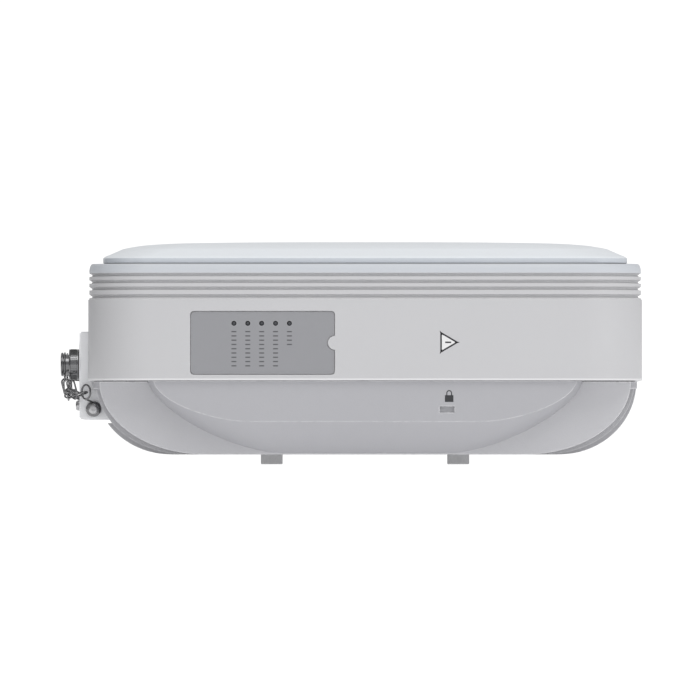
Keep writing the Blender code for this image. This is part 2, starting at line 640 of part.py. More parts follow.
def antennas(body):
    metal = material("reflector_aluminium", (0.80, 0.80, 0.80), 0.35, 1.0)
    half = POST_PLACE + 5 * MM
    shape = loft(bmesh.new(), [rounded_ring(half, half, 8 * MM, z, steps=3)
                               for z in (REFLECTOR_Z, REFLECTOR_Z + 1.2 * MM)])
    add_object("antenna_reflector", shape, metal, body)
    brass = material("patch_brass", (0.75, 0.58, 0.30), 0.3, 1.0)
    low = REFLECTOR_Z + 1.2 * MM + GAP
    for i, (x, y) in enumerate(four_corners(46 * MM, 46 * MM), start=1):
        plate = box(bmesh.new(), (x - 24 * MM, y - 24 * MM, low + 4 * MM),
                    (x + 24 * MM, y + 24 * MM, low + 5 * MM))
        patch = add_object(f"patch_antenna_{i}", plate, brass, body)
        stem = turned(bmesh.new(), ((low, 3 * MM), (low + 4.5 * MM, 3 * MM)), Z_AXIS, (x, y, 0), 12)
        combine(patch, add_object(f"cut_patch_stem_{i}", stem, parent=body), "UNION")


# --- port panel and ports ---------------------------------------------------------------------------
def panel_hollows():
    """Back cavity and every hole of the panel."""
    shape = bmesh.new()
    wall = PANEL_WALL
    box(shape, (-PANEL_FACE + PANEL_FRONT, -PANEL_HALF_Y + wall, PANEL_BOTTOM + wall),
        (-PANEL_BACK + MM, PANEL_HALF_Y - wall, PANEL_TOP - wall))
    out = -X_AXIS
    for y in PORT_PLACES:
        bore, recess = COLLAR_BODY / 2 + GAP, COLLAR_FLANGE / 2 + GAP
        profile = ((PANEL_FACE - PANEL_FRONT - MM, bore), (PANEL_FACE - 2 * MM, bore),
                   (PANEL_FACE - 2 * MM, recess), (PANEL_FACE + MM, recess))
        turned(shape, profile, out, (0, y, PORT_Z), 24)
    hole = SCREW_DIAMETER / 2 + GAP
    sunk = SCREW_HEAD / 2 + GAP
    for y, z in PANEL_SCREWS:
        profile = ((PANEL_FACE - PANEL_FRONT - MM, hole), (PANEL_FACE - 3.5 * MM, hole),
                   (PANEL_FACE - 3.5 * MM, sunk), (PANEL_FACE + MM, sunk))
        turned(shape, profile, out, (0, y, z), 16)
    profile = ((PANEL_FACE - PANEL_FRONT - MM, 2.8 * MM), (PANEL_FACE + MM, 2.8 * MM))
    turned(shape, profile, out, (0, GROUND_Y, PORT_Z), 12)
    for seat, _, normal, _ in LUGS:
        turned(shape, ((-6 * MM, LUG_HOLE / 2), (MM, LUG_HOLE / 2)), normal, seat, 10)
    return shape


def port_panel(body):
    paint = material("panel_grey_paint", (0.62, 0.62, 0.65), 0.5)
    shape = box(bmesh.new(), (-PANEL_FACE, -PANEL_HALF_Y, PANEL_BOTTOM),
                (-PANEL_BACK, PANEL_HALF_Y, PANEL_TOP))
    front = [edge for edge in shape.edges if min(v.co.x for v in edge.verts) < -PANEL_FACE + MM]
    bmesh.ops.bevel(shape, geom=front, offset=0.8 * MM, segments=2, affect="EDGES", profile=0.5)
    panel = add_object("port_panel", shape, paint, body)
    combine(panel, add_object("cut_panel_hollows", panel_hollows(), parent=body), "DIFFERENCE")
    rubber = material("panel_seal_rubber", (0.03, 0.03, 0.03), 0.8)
    middle = (PANEL_TOP + PANEL_BOTTOM) / 2
    half_z = (PANEL_TOP - PANEL_BOTTOM) / 2
    rings = []
    for inset, depth in ((0.4 * MM, 0), (0.4 * MM, 1), (PANEL_WALL, 1), (PANEL_WALL, 0)):
        x = -PANEL_BACK + GAP if depth else -BULKHEAD_FACE - GAP
        flat = rounded_ring(PANEL_HALF_Y - inset, half_z - inset, MM, 0, steps=2)
        rings.append([(x, y, middle + z) for y, z, _ in flat])
    add_object("port_panel_gasket", loft(bmesh.new(), rings, closed=True), rubber, body)


def fasteners(body):
    steel = material("screw_stainless", (0.60, 0.60, 0.61), 0.3, 1.0)
    head = (SCREW_HEAD, 3.2 * MM)
    for i, (x, y) in enumerate(COVER_SCREWS, start=1):
        seat = (x, y, BASE_TOP - BASE_PLATE - GAP)
        screw(f"cover_screw_{i}", steel, body, seat, -Z_AXIS, head, (SCREW_DIAMETER, 14 * MM))
    for i, (y, z) in enumerate(PANEL_SCREWS, start=1):
        seat = (-PANEL_FACE + 3.2 * MM, y, z)
        screw(f"panel_screw_{i}", steel, body, seat, -X_AXIS, (SCREW_HEAD, 3 * MM),
              (SCREW_DIAMETER, 25 * MM))
    seat = (-PANEL_FACE - GAP, GROUND_Y, PORT_Z)
    screw("ground_screw", steel, body, seat, -X_AXIS, (9 * MM, 3.5 * MM), (5 * MM, 7 * MM))


def port(index, y, body):
    """One round port: collar, contact insert, cap seal, dust cap and the cap's tether ring."""
    chrome = material(f"port_{index}_chrome", (0.55, 0.55, 0.57), 0.2, 1.0)
    nylon = material(f"port_{index}_insert_black", (0.03, 0.03, 0.03), 0.5)
    rubber = material(f"port_{index}_seal_rubber", (0.03, 0.03, 0.03), 0.8)
    out = -X_AXIS
    axis = add_empty(f"port_{index}_axis", (-PANEL_FACE, y, PORT_Z), body)
    thread = THREAD_DIAMETER / 2
    bore = thread - 1.4 * MM
    thread_end = 2.8 * MM
    back, flange = COLLAR_BODY / 2, COLLAR_FLANGE / 2
    profile = ((-8 * MM, bore), (-8 * MM, back), (-1.7 * MM, back), (-1.7 * MM, flange),
               (-0.2 * MM, flange), (-0.2 * MM, thread), (thread_end - 0.3 * MM, thread),
               (thread_end, thread - 0.3 * MM), (thread_end, bore))
    add_object(f"port_{index}_collar", turned(bmesh.new(), profile, out, closed=True), chrome, axis)
    back = PORT_BOARD_X + BOARD_THICK + GAP - PANEL_FACE
    core = bore - GAP
    profile = [(back, 3 * MM), (-12 * MM, 3 * MM), (-12 * MM, core), (MM, core)]
    if index == OPTICAL_PORT:
        profile += [(MM, 1.25 * MM), (2.2 * MM, 1.25 * MM), (2.5 * MM, MM)]
    else:
        profile += [(MM, core - MM), (0.2 * MM, core - MM)]
    add_object(f"port_{index}_insert", turned(bmesh.new(), profile, out, steps=16), nylon, axis)
    inner = thread + GAP
    seal_low = thread_end + GAP
    seal_high = seal_low + 0.8 * MM
    profile = ((seal_low, bore), (seal_low, thread), (seal_high, thread), (seal_high, bore))
    add_object(f"port_{index}_cap_seal", turned(bmesh.new(), profile, out, steps=16, closed=True),
               rubber, axis)
    end = CAP_REACH
    knob = end - KNOB_LENGTH
    neck = knob - NECK_LENGTH
    skirt, edge = CAP_DIAMETER / 2, 0.3 * MM
    knob_radius = KNOB_DIAMETER / 2
    profile = ((seal_high + GAP, inner), (GAP, inner), (GAP, skirt - edge), (GAP + edge, skirt),
               (neck - edge, skirt), (neck, skirt - edge), (neck, NECK_DIAMETER / 2),
               (knob, NECK_DIAMETER / 2), (knob, knob_radius - edge), (knob + edge, knob_radius),
               (end - 0.6 * MM, knob_radius - 0.2 * MM), (end, knob_radius - 1.6 * MM))
    add_object(f"port_{index}_cap", turned(bmesh.new(), profile, out), chrome, axis)
    lean = EYELET_LEAN[index - 1]
    hang = Vector((0, lean, -math.sqrt(1 - lean * lean)))
    center = out * (knob - GAP - RING_WIRE / 2)
    radius = NECK_DIAMETER / 2 + GAP + RING_WIRE / 2
    eyelet_center = center + hang * (radius + LINK_BEND)
    ring = wire_loop(bmesh.new(), circle_path(center, out, radius, 15), RING_WIRE / 2)
    ring_object = add_object(f"port_{index}_tether_ring", ring, chrome, axis)
    eyelet = wire_loop(bmesh.new(), circle_path(eyelet_center, out, LINK_BEND, 10), RING_WIRE / 2)
    combine(ring_object, add_object(f"cut_ring_eyelet_{index}", eyelet, parent=axis), "UNION")
    pin = eyelet_center + hang * EYELET_SLACK
    return Vector((-PANEL_FACE, y, PORT_Z)) + pin, chrome


# --- chains -----------------------------------------------------------------------------------------
def link_path(start, end, start_gap, end_gap, width):
    """Centre line of a link between two pins: two half circles joined by straight wires."""
    along = (end - start).normalized()
    across = (width - along * width.dot(along)).normalized()
    first = start + along * start_gap
    last = end - along * end_gap
    points = []
    for center, turn in ((last, 1), (first, -1)):
        for step in range(6):
            angle = math.radians(90 - 36 * step)
            points.append(center + turn * LINK_BEND
                          * (along * math.cos(angle) + across * math.sin(angle)))
    return points


def hook_up(seat, tangent, normal):
    """Centre of a lug's eye, standing off the panel beside the lug's screw."""
    return seat + tangent * EYE_RADIUS + normal * EYE_STANDOFF + Z_AXIS * EYE_RISE


def chain(index, start, lug_data, look, body):
    """Three links that hang between the cap's ring and the lug, and the lug with its screw."""
    seat, tangent, normal, sag = lug_data
    eye = hook_up(seat, tangent, normal)
    overlap = LINK_BEND - 0.8 * MM
    outer = LINK_BEND + LINK_STRAIGHT + overlap
    middle = LINK_STRAIGHT + 2 * overlap
    chord = eye - start
    along = chord.normalized()
    drop = (sag - along * sag.dot(along)).normalized()
    lean = math.acos((chord.length - middle) / (2 * outer))
    first = start + (along * math.cos(lean) + drop * math.sin(lean)) * outer
    pins = [start, first, first + along * middle, eye]
    gaps = ((LINK_BEND, overlap), (overlap, overlap), (overlap, LINK_BEND))
    eye_axis = Vector((chord.x, chord.y, 0)).cross(Z_AXIS).normalized()
    widths = (X_AXIS, along.cross(X_AXIS), eye_axis)
    for i in range(3):
        path = link_path(pins[i], pins[i + 1], *gaps[i], widths[i])
        shape = wire_loop(bmesh.new(), [point - pins[i] for point in path], WIRE / 2)
        add_object(f"port_{index}_chain_link_{i + 1}", shape, look, body, pins[i])
    lug_and_screw(index, lug_data, eye_axis, look, body)


def lug_and_screw(index, lug_data, eye_axis, look, body):
    """Flat washer with a standing eye, held by a small screw."""
    seat, tangent, normal, _ = lug_data
    hole, rim = LUG_HOLE / 2, LUG_WASHER / 2
    profile = ((GAP, hole), (GAP, rim), (1.2 * MM, rim), (1.2 * MM, hole))
    washer = turned(bmesh.new(), profile, normal, steps=14, closed=True)
    lug = add_object(f"port_{index}_lug", washer, look, body, seat)
    eye = hook_up(Vector(), tangent, normal)
    loop = wire_loop(bmesh.new(), circle_path(eye, eye_axis, EYE_RADIUS, 14), WIRE / 2)
    foot = normal * 0.7 * MM + Z_AXIS * (rim - WIRE / 2)
    top = eye - Z_AXIS * EYE_RADIUS
    arm = top - foot
    turned(loop, ((0, WIRE / 2), (arm.length, WIRE / 2)), arm.normalized(), foot, 6)
    combine(lug, add_object(f"cut_lug_eye_{index}", loop, parent=body, location=seat), "UNION")
    steel = material(f"lug_screw_{index}_steel", (0.60, 0.60, 0.61), 0.3, 1.0)
    screw(f"port_{index}_lug_screw", steel, body, seat + normal * 1.5 * MM, normal,
          (4.8 * MM, 1.8 * MM), (3 * MM, 6 * MM))


# --- assembly ---------------------------------------------------------------------------------------
def build():
    clear_scene()
    body = add_empty("body_center", (BODY_X, 0, 0))
    heat_sink_base(body)
    housing_gasket(body)
    front_housing(body)
    radome_gasket(body)
    radome_cover(body)
    led_label(body)
    led_light_guide(body)
    main_boards(body)
    board_parts(body)
    antennas(body)
    port_panel(body)
    fasteners(body)
    for index, (y, lug_data) in enumerate(zip(PORT_PLACES, LUGS), start=1):
        eyelet, chrome = port(index, y, body)
        chain(index, eyelet, lug_data, chrome, body)


build()
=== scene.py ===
import json
import math

import bmesh
import bpy
from mathutils import Matrix, Vector


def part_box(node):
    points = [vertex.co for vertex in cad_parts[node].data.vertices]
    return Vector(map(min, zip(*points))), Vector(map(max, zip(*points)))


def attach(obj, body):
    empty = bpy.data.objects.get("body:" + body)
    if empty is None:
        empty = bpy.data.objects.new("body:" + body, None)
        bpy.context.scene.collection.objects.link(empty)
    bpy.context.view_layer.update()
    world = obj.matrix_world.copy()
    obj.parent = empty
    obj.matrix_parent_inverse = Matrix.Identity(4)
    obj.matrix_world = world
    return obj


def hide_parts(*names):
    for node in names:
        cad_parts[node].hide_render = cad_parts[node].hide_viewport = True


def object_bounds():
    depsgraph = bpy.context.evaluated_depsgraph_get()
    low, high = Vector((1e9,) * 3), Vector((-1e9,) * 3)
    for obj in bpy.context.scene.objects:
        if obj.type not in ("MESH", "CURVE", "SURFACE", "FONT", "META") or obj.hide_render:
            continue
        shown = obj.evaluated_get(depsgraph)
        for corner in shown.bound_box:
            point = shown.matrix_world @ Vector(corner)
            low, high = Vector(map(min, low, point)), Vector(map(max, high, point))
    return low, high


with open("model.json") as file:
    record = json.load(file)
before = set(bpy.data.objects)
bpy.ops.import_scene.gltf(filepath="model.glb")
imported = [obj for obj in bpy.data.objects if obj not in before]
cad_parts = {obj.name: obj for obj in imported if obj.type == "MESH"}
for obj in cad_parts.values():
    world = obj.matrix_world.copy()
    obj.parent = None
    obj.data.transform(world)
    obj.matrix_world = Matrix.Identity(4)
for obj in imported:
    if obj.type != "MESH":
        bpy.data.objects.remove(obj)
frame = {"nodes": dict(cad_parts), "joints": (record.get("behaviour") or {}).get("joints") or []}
cad_low, cad_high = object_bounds()

# === Stage: camera, light and floor ==========================================================
# The terminal lies on its back on a white table, seen square on from its indicator side through
# a long lens. White surroundings light it softly, with a broad lamp from the right.
MM = 0.001
housing_low, housing_high = (Vector(corner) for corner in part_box("front_housing"))
body_x = (housing_low.x + housing_high.x) / 2
body_half = (housing_high.x - housing_low.x) / 2
overall_z = cad_high[2] - cad_low[2]
VIEW_WIDTH = 327.4 * MM           # what the lens takes in at the terminal's front
VIEW_SHIFT = (-7.1 * MM, 1.0 * MM)    # view centre from the body's middle, in X and Z
VIEW_LENS = 1000.0
EYE_HEIGHT = 1.0 * MM             # low, so that the table's far edge isn't seen


def place_camera():
    data = bpy.data.cameras.new("camera")
    data.sensor_width = 36.0
    data.lens = VIEW_LENS
    data.clip_end = 50.0
    distance = VIEW_WIDTH * VIEW_LENS / data.sensor_width
    data.shift_y = (overall_z / 2 + VIEW_SHIFT[1] - EYE_HEIGHT) / VIEW_WIDTH
    camera = bpy.data.objects.new("camera", data)
    camera.location = (body_x + VIEW_SHIFT[0], -body_half - distance, EYE_HEIGHT)
    camera.rotation_euler = (math.pi / 2, 0, 0)
    bpy.context.scene.collection.objects.link(camera)
    bpy.context.scene.camera = camera


def area_lamp(name, location, size, power):
    data = bpy.data.lights.new(name, "AREA")
    data.size = size
    data.energy = power
    lamp = bpy.data.objects.new(name, data)
    lamp.location = location
    lamp.rotation_euler = (-Vector(location)).to_track_quat("-Z", "Y").to_euler()
    bpy.context.scene.collection.objects.link(lamp)


def white_surroundings():
    world = bpy.data.worlds.new("white_room")
    world.use_nodes = True
    nodes, links = world.node_tree.nodes, world.node_tree.links
    sky = nodes["Background"]
    sky.inputs["Strength"].default_value = 0.60
    backdrop = nodes.new("ShaderNodeBackground")
    backdrop.inputs["Color"].default_value = (1, 1, 1, 1)
    backdrop.inputs["Strength"].default_value = 1.1
    sky.inputs["Color"].default_value = (1.0, 1.0, 1.01, 1)
    mix = nodes.new("ShaderNodeMixShader")
    ray = nodes.new("ShaderNodeLightPath")
    links.new(ray.outputs["Is Camera Ray"], mix.inputs["Fac"])
    links.new(sky.outputs["Background"], mix.inputs[1])
    links.new(backdrop.outputs["Background"], mix.inputs[2])
    links.new(mix.outputs["Shader"], nodes["World Output"].inputs["Surface"])
    bpy.context.scene.world = world


def stage_plane(name, corners, color, glow, seen=True):
    """Plane outside the object; one that isn't seen only shows in reflections."""
    mesh = bpy.data.meshes.new(name)
    mesh.from_pydata(corners, [], [(0, 1, 2, 3)])
    plane = bpy.data.objects.new(name, mesh)
    look = bpy.data.materials.new(name)
    look.use_nodes = True
    shader = look.node_tree.nodes["Principled BSDF"]
    shader.inputs["Base Color"].default_value = (*color, 1)
    shader.inputs["Roughness"].default_value = 0.9
    shader.inputs["Specular IOR Level"].default_value = 0.0
    shader.inputs["Emission Color"].default_value = (1, 1, 1, 1)
    shader.inputs["Emission Strength"].default_value = glow
    mesh.materials.append(look)
    bpy.context.scene.collection.objects.link(plane)
    plane.visible_camera = seen


place_camera()
white_surroundings()
area_lamp("soft_key", (0.5, -1.7, 2.3), 1.8, 26)
area_lamp("soft_right", (2.0, -1.6, 0.6), 1.2, 4)
floor_z = cad_low[2] - 0.1 * MM
stage_plane("pale_floor", [(-3, -3, floor_z), (3, -3, floor_z), (3, 3, floor_z), (-3, 3, floor_z)],
            (0.9, 0.9, 0.9), 0.36)
stage_plane("dark_card", [(-0.42, -0.3, 0.02), (-0.42, 0.3, 0.02), (-0.42, 0.3, 0.2),
                          (-0.42, -0.3, 0.2)], (0.03, 0.03, 0.03), 0.0, False)
bpy.context.scene.view_settings.view_transform = "Standard"


# === Shared surface effects ===================================================================
# Every finish is built from the same few effects: the grain of a mould or a coat, slow colour
# mottling, rubbed edges that also serve as painted edge highlights, settled dust and drawn or
# brushed streaks. Each is a node group.
def node_group(name, inputs, outputs):
    """Empty shader group; inputs are (name, type, default) and outputs are names."""
    tree = bpy.data.node_groups.new(name, "ShaderNodeTree")
    for label, kind, value in inputs:
        socket = tree.interface.new_socket(label, in_out="INPUT", socket_type=kind)
        if value is not None:
            socket.default_value = value
    for label in outputs:
        tree.interface.new_socket(label, in_out="OUTPUT", socket_type="NodeSocketFloat")
    return tree, tree.nodes.new("NodeGroupInput"), tree.nodes.new("NodeGroupOutput")


def maths(tree, operation, first, second):
    node = tree.nodes.new("ShaderNodeMath")
    node.operation = operation
    for socket, value in zip(node.inputs, (first, second)):
        if isinstance(value, (int, float)):
            socket.default_value = value
        else:
            tree.links.new(value, socket)
    return node.outputs[0]


def ramp(tree, value, low, high, start=0.0, end=1.0):
    node = tree.nodes.new("ShaderNodeMapRange")
    node.inputs["From Min"].default_value = low
    node.inputs["From Max"].default_value = high
    node.inputs["To Min"].default_value = start
    node.inputs["To Max"].default_value = end
    tree.links.new(value, node.inputs["Value"])
    return node.outputs["Result"]


def noise(tree, vector, scale, detail=3.0):
    node = tree.nodes.new("ShaderNodeTexNoise")
    node.inputs["Detail"].default_value = detail
    tree.links.new(vector, node.inputs["Vector"])
    if isinstance(scale, (int, float)):
        node.inputs["Scale"].default_value = scale
    else:
        tree.links.new(scale, node.inputs["Scale"])
    return node.outputs["Fac"]


def grain_group():
    """Spark-eroded mould grain or orange peel: small cells softened by noise."""
    inputs = (("Vector", "NodeSocketVector", None), ("Cells", "NodeSocketFloat", 1500.0))
    tree, start, end = node_group("moulded_grain", inputs, ("Height", "Pits"))
    cells = tree.nodes.new("ShaderNodeTexVoronoi")
    tree.links.new(start.outputs["Vector"], cells.inputs["Vector"])
    tree.links.new(start.outputs["Cells"], cells.inputs["Scale"])
    fine = noise(tree, start.outputs["Vector"], start.outputs["Cells"])
    height = maths(tree, "MULTIPLY_ADD", cells.outputs["Distance"], 0.6)
    tree.links.new(fine, height.node.inputs[2])
    tree.links.new(height, end.inputs["Height"])
    tree.links.new(ramp(tree, cells.outputs["Distance"], 0.0, 0.35, 1.0, 0.0), end.inputs["Pits"])
    return tree


def mottle_group():
    """Slow change of tone across a moulding, at two sizes."""
    inputs = (("Vector", "NodeSocketVector", None), ("Size", "NodeSocketFloat", 18.0))
    tree, start, end = node_group("slow_mottle", inputs, ("Tone",))
    broad = noise(tree, start.outputs["Vector"], start.outputs["Size"], 2.0)
    small = noise(tree, start.outputs["Vector"], 240.0, 4.0)
    both = maths(tree, "ADD", maths(tree, "MULTIPLY", broad, 0.7),
                 maths(tree, "MULTIPLY", small, 0.3))
    tree.links.new(ramp(tree, both, 0.35, 0.65), end.inputs["Tone"])
    return tree


def wear_and_highlight_group():
    """Rubbed edges and painted edge highlights: where a rounded normal leaves the true one, broken
    up by noise.
    """
    inputs = (("Vector", "NodeSocketVector", None), ("Amount", "NodeSocketFloat", 0.5))
    tree, start, end = node_group("edge_wear_and_highlight", inputs, ("Mask",))
    shape = tree.nodes.new("ShaderNodeNewGeometry")
    eased = tree.nodes.new("ShaderNodeBevel")
    eased.inputs["Radius"].default_value = 0.0007
    turn = tree.nodes.new("ShaderNodeVectorMath")
    turn.operation = "DOT_PRODUCT"
    tree.links.new(eased.outputs["Normal"], turn.inputs[0])
    tree.links.new(shape.outputs["Normal"], turn.inputs[1])
    convex = ramp(tree, turn.outputs["Value"], 0.98, 0.85)
    broken = ramp(tree, noise(tree, start.outputs["Vector"], 420.0, 5.0), 0.3, 0.5)
    mask = maths(tree, "MULTIPLY", maths(tree, "MULTIPLY", convex, broken), start.outputs["Amount"])
    tree.links.new(mask, end.inputs["Mask"])
    return tree


def dust_group():
    """Fine dust on what faces up."""
    inputs = (("Vector", "NodeSocketVector", None), ("Amount", "NodeSocketFloat", 0.3))
    tree, start, end = node_group("settled_dust", inputs, ("Mask",))
    shape = tree.nodes.new("ShaderNodeNewGeometry")
    split = tree.nodes.new("ShaderNodeSeparateXYZ")
    tree.links.new(shape.outputs["Normal"], split.inputs["Vector"])
    upward = ramp(tree, split.outputs["Z"], 0.2, 1.0)
    patchy = ramp(tree, noise(tree, start.outputs["Vector"], 60.0, 6.0), 0.35, 0.7)
    mask = maths(tree, "MULTIPLY", maths(tree, "MULTIPLY", upward, patchy), start.outputs["Amount"])
    tree.links.new(mask, end.inputs["Mask"])
    return tree


def streak_group():
    """Turned, drawn or brushed streaks: noise stretched along one direction."""
    inputs = (("Vector", "NodeSocketVector", None), ("Stretch", "NodeSocketVector", (1, 1, 1)))
    tree, start, end = node_group("metal_streaks", inputs, ("Height", "Smudge"))
    stretched = tree.nodes.new("ShaderNodeVectorMath")
    stretched.operation = "MULTIPLY"
    tree.links.new(start.outputs["Vector"], stretched.inputs[0])
    tree.links.new(start.outputs["Stretch"], stretched.inputs[1])
    tree.links.new(noise(tree, stretched.outputs["Vector"], 900.0, 4.0), end.inputs["Height"])
    smudge = ramp(tree, noise(tree, start.outputs["Vector"], 130.0, 4.0), 0.4, 0.7)
    tree.links.new(smudge, end.inputs["Smudge"])
    return tree


GRAIN, MOTTLE, WEAR_AND_HIGHLIGHT = grain_group(), mottle_group(), wear_and_highlight_group()
DUST, STREAKS = dust_group(), streak_group()


class Finish:
    """One material under construction: a Principled shader and the layers that feed it."""

    def __init__(self, name, color, roughness, metallic=0.0):
        self.material = bpy.data.materials.new(name)
        self.material.use_nodes = True
        self.tree = self.material.node_tree
        self.shader = self.tree.nodes["Principled BSDF"]
        self.shader.inputs["Metallic"].default_value = metallic
        self.place = self.tree.nodes.new("ShaderNodeTexCoord").outputs["Object"]
        self.color = (*color, 1.0)
        self.roughness = roughness
        self.height = None

    def group(self, tree, **settings):
        node = self.tree.nodes.new("ShaderNodeGroup")
        node.node_tree = tree
        self.tree.links.new(self.place, node.inputs["Vector"])
        for label, value in settings.items():
            node.inputs[label].default_value = value
        return node

    def level(self, low, high):
        """Mask that is white between two heights."""
        split = self.tree.nodes.new("ShaderNodeSeparateXYZ")
        self.tree.links.new(self.place, split.inputs["Vector"])
        soft = 0.15 * MM
        above = ramp(self.tree, split.outputs["Z"], low - soft, low + soft)
        below = ramp(self.tree, split.outputs["Z"], high + soft, high - soft)
        return maths(self.tree, "MULTIPLY", above, below)

    def tint(self, mask, color):
        """Lay another colour over what is there, where the mask is white."""
        mix = self.tree.nodes.new("ShaderNodeMix")
        mix.data_type = "RGBA"
        factor, below, above = mix.inputs[0], mix.inputs[6], mix.inputs[7]
        if isinstance(self.color, tuple):
            below.default_value = self.color
        else:
            self.tree.links.new(self.color, below)
        above.default_value = (*color, 1.0)
        self.tree.links.new(mask, factor)
        self.color = mix.outputs[2]
        return self

    def roughen(self, mask, change):
        """Add to the roughness where the mask is white."""
        extra = maths(self.tree, "MULTIPLY", mask, change)
        self.roughness = maths(self.tree, "ADD", extra, self.roughness)
        return self

    def emboss(self, height, distance, strength=1.0):
        bump = self.tree.nodes.new("ShaderNodeBump")
        bump.inputs["Distance"].default_value = distance
        bump.inputs["Strength"].default_value = strength
        self.tree.links.new(height, bump.inputs["Height"])
        if self.height:
            self.tree.links.new(self.height, bump.inputs["Normal"])
        self.height = bump.outputs["Normal"]
        return self

    def done(self):
        """Connect the layers to the shader."""
        for label, value in (("Base Color", self.color), ("Roughness", self.roughness)):
            if isinstance(value, (int, float, tuple)):
                self.shader.inputs[label].default_value = value
            else:
                self.tree.links.new(value, self.shader.inputs[label])
        if self.height:
            self.tree.links.new(self.height, self.shader.inputs["Normal"])
        return self.material


def shade(color, factor):
    return tuple(channel * factor for channel in color)


def moulded(name, color, roughness, cells, depth, dust=0.2, wear_and_highlight=0.25, size=14.0, light_and_shade_bands=()):
    """Moulded plastic or powder coat: grain, mottling, bands of painted highlight and painted
    shade, rubbed edges that also carry painted edge highlights, and dust.
    """
    finish = Finish(name, color, roughness)
    grain = finish.group(GRAIN, Cells=cells)
    tone = finish.group(MOTTLE, Size=size).outputs["Tone"]
    finish.tint(tone, shade(color, 0.982))
    finish.tint(grain.outputs["Pits"], shade(color, 0.955))
    # Bands between two heights painted paler or darker: painted highlight and painted shade.
    for low, high, painted_light_tone in light_and_shade_bands:
        finish.tint(finish.level(low, high), painted_light_tone)
    # Paler edges: rubbed wear, and where the amount is high, painted edge highlights.
    worn_and_lit = finish.group(WEAR_AND_HIGHLIGHT, Amount=wear_and_highlight).outputs["Mask"]
    finish.tint(worn_and_lit, tuple(0.72 + 0.28 * c for c in color))
    dusty = finish.group(DUST, Amount=dust).outputs["Mask"]
    finish.tint(dusty, (0.72, 0.70, 0.66))
    finish.roughen(tone, 0.06)
    finish.roughen(dusty, 0.25)
    return finish.emboss(grain.outputs["Height"], depth).done()


def metal(name, color, roughness, stretch, depth=0.00001, smudge=0.12):
    """Plated, turned or drawn metal: streaks along one direction and dull smudges."""
    finish = Finish(name, color, roughness, 1.0)
    streaks = finish.group(STREAKS, Stretch=stretch)
    tone = finish.group(MOTTLE, Size=60.0).outputs["Tone"]
    finish.tint(tone, shade(color, 0.86))
    finish.tint(finish.group(DUST, Amount=0.12).outputs["Mask"], (0.45, 0.43, 0.40))
    finish.roughen(streaks.outputs["Smudge"], smudge)
    finish.roughen(streaks.outputs["Height"], 0.08)
    return finish.emboss(streaks.outputs["Height"], depth).done()


def cover_node(name, look):
    """Give a CAD node that stays as it is its material."""
    mesh = frame["nodes"][name].data
    mesh.materials.clear()
    mesh.materials.append(look)


# === Heat sink base ===========================================================================
# One aluminium die casting in light grey powder coat: a plate with a tub for the boards, fins
# hanging below it, a raised pad on either side and four mounting bosses with blind holes.
GAP = 0.3 * MM
base_low, base_high = (Vector(corner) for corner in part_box("heat_sink_base"))
panel_low, panel_high = (Vector(corner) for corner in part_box("port_panel"))
PLATE_TOP = housing_low.z - GAP
PLATE_THICK = 3.7 * MM
FIN_BOTTOM = 4.7 * MM
FIN_THICK = 2.6 * MM
FIN_COUNT = 19
FIN_HALF_X = (base_high.x - base_low.x) / 2
FIN_HALF_Y = 112.3 * MM
FIN_CORNER = 36.0 * MM
NOTCH_X = 111.7 * MM              # cut-out for the port panel
NOTCH_Y = 90.0 * MM
SEAL_HALF_X, SEAL_HALF_Y = 109.75 * MM, 107.5 * MM
SEAL_CENTER = 3.75 * MM
CAVITY_HALF_X, CAVITY_HALF_Y = 104.0 * MM, 101.5 * MM
CAVITY_CENTER = 4.0 * MM
TUB_WALL = 4.0 * MM
TUB_BOTTOM, TUB_FLOOR = 18.0 * MM, 22.0 * MM
INNER_CORNER = 6.0 * MM
PAD_Y = base_high.y
LOCK_SLOT = Vector((body_x + 38.3 * MM, -PAD_Y, 25.7 * MM))
LOCK_SLOT_HALF = Vector((3.5 * MM, 1.6 * MM, 1.5 * MM))    # the middle one is its depth
BOSS_PLACE = 44.2 * MM
BOSS_RADIUS, BOSS_HOLE = 5.0 * MM, 2.6 * MM
TUB_POSTS = ((80 * MM, 75 * MM, 3.5 * MM, 26.7 * MM),    # board studs: x, y, radius, top
             (94 * MM, 94 * MM, 4.0 * MM, 59.7 * MM))    # reflector posts
CORNER_SIGNS = [(x, y) for x in (-1, 1) for y in (-1, 1)]
X_AXIS, Y_AXIS, Z_AXIS = (Vector(axis) for axis in ((1, 0, 0), (0, 1, 0), (0, 0, 1)))


def loft(shape, rings, closed=False):
    """Skin rings of equal length; open lofts are capped, closed ones meet themselves."""
    rows = [[shape.verts.new(point) for point in ring] for ring in rings]
    pairs = list(zip(rows, rows[1:]))
    if closed:
        pairs.append((rows[-1], rows[0]))
    else:
        shape.faces.new(rows[0])
        shape.faces.new(rows[-1])
    count = len(rows[0])
    for near, far in pairs:
        for i in range(count):
            after = (i + 1) % count
            shape.faces.new((near[i], near[after], far[after], far[i]))
    return shape


def rounded_ring(half_x, half_y, radius, z, center_x=0.0, steps=16):
    """Rounded rectangle in plan about the body's middle, running anticlockwise."""
    points = []
    for quarter, (sign_x, sign_y) in enumerate(((1, 1), (-1, 1), (-1, -1), (1, -1))):
        for step in range(steps + 1):
            turn = math.radians(90 * (quarter + step / steps))
            x = body_x + center_x + sign_x * (half_x - radius) + radius * math.cos(turn)
            y = sign_y * (half_y - radius) + radius * math.sin(turn)
            points.append((x, y, z))
    return points


def prism(outline, low, high, edge=0.0, segments=2):
    """Flat outline (x, z) about the body's middle, extruded along Y, with eased rims."""
    shape = bmesh.new()
    loft(shape, [[(body_x + x, y, z) for x, z in outline] for y in (low, high)])
    if edge:
        rims = [e for e in shape.edges if abs(e.verts[0].co.y - e.verts[1].co.y) < 1e-6]
        bmesh.ops.bevel(shape, geom=rims, offset=edge, segments=segments, affect="EDGES")
    return shape


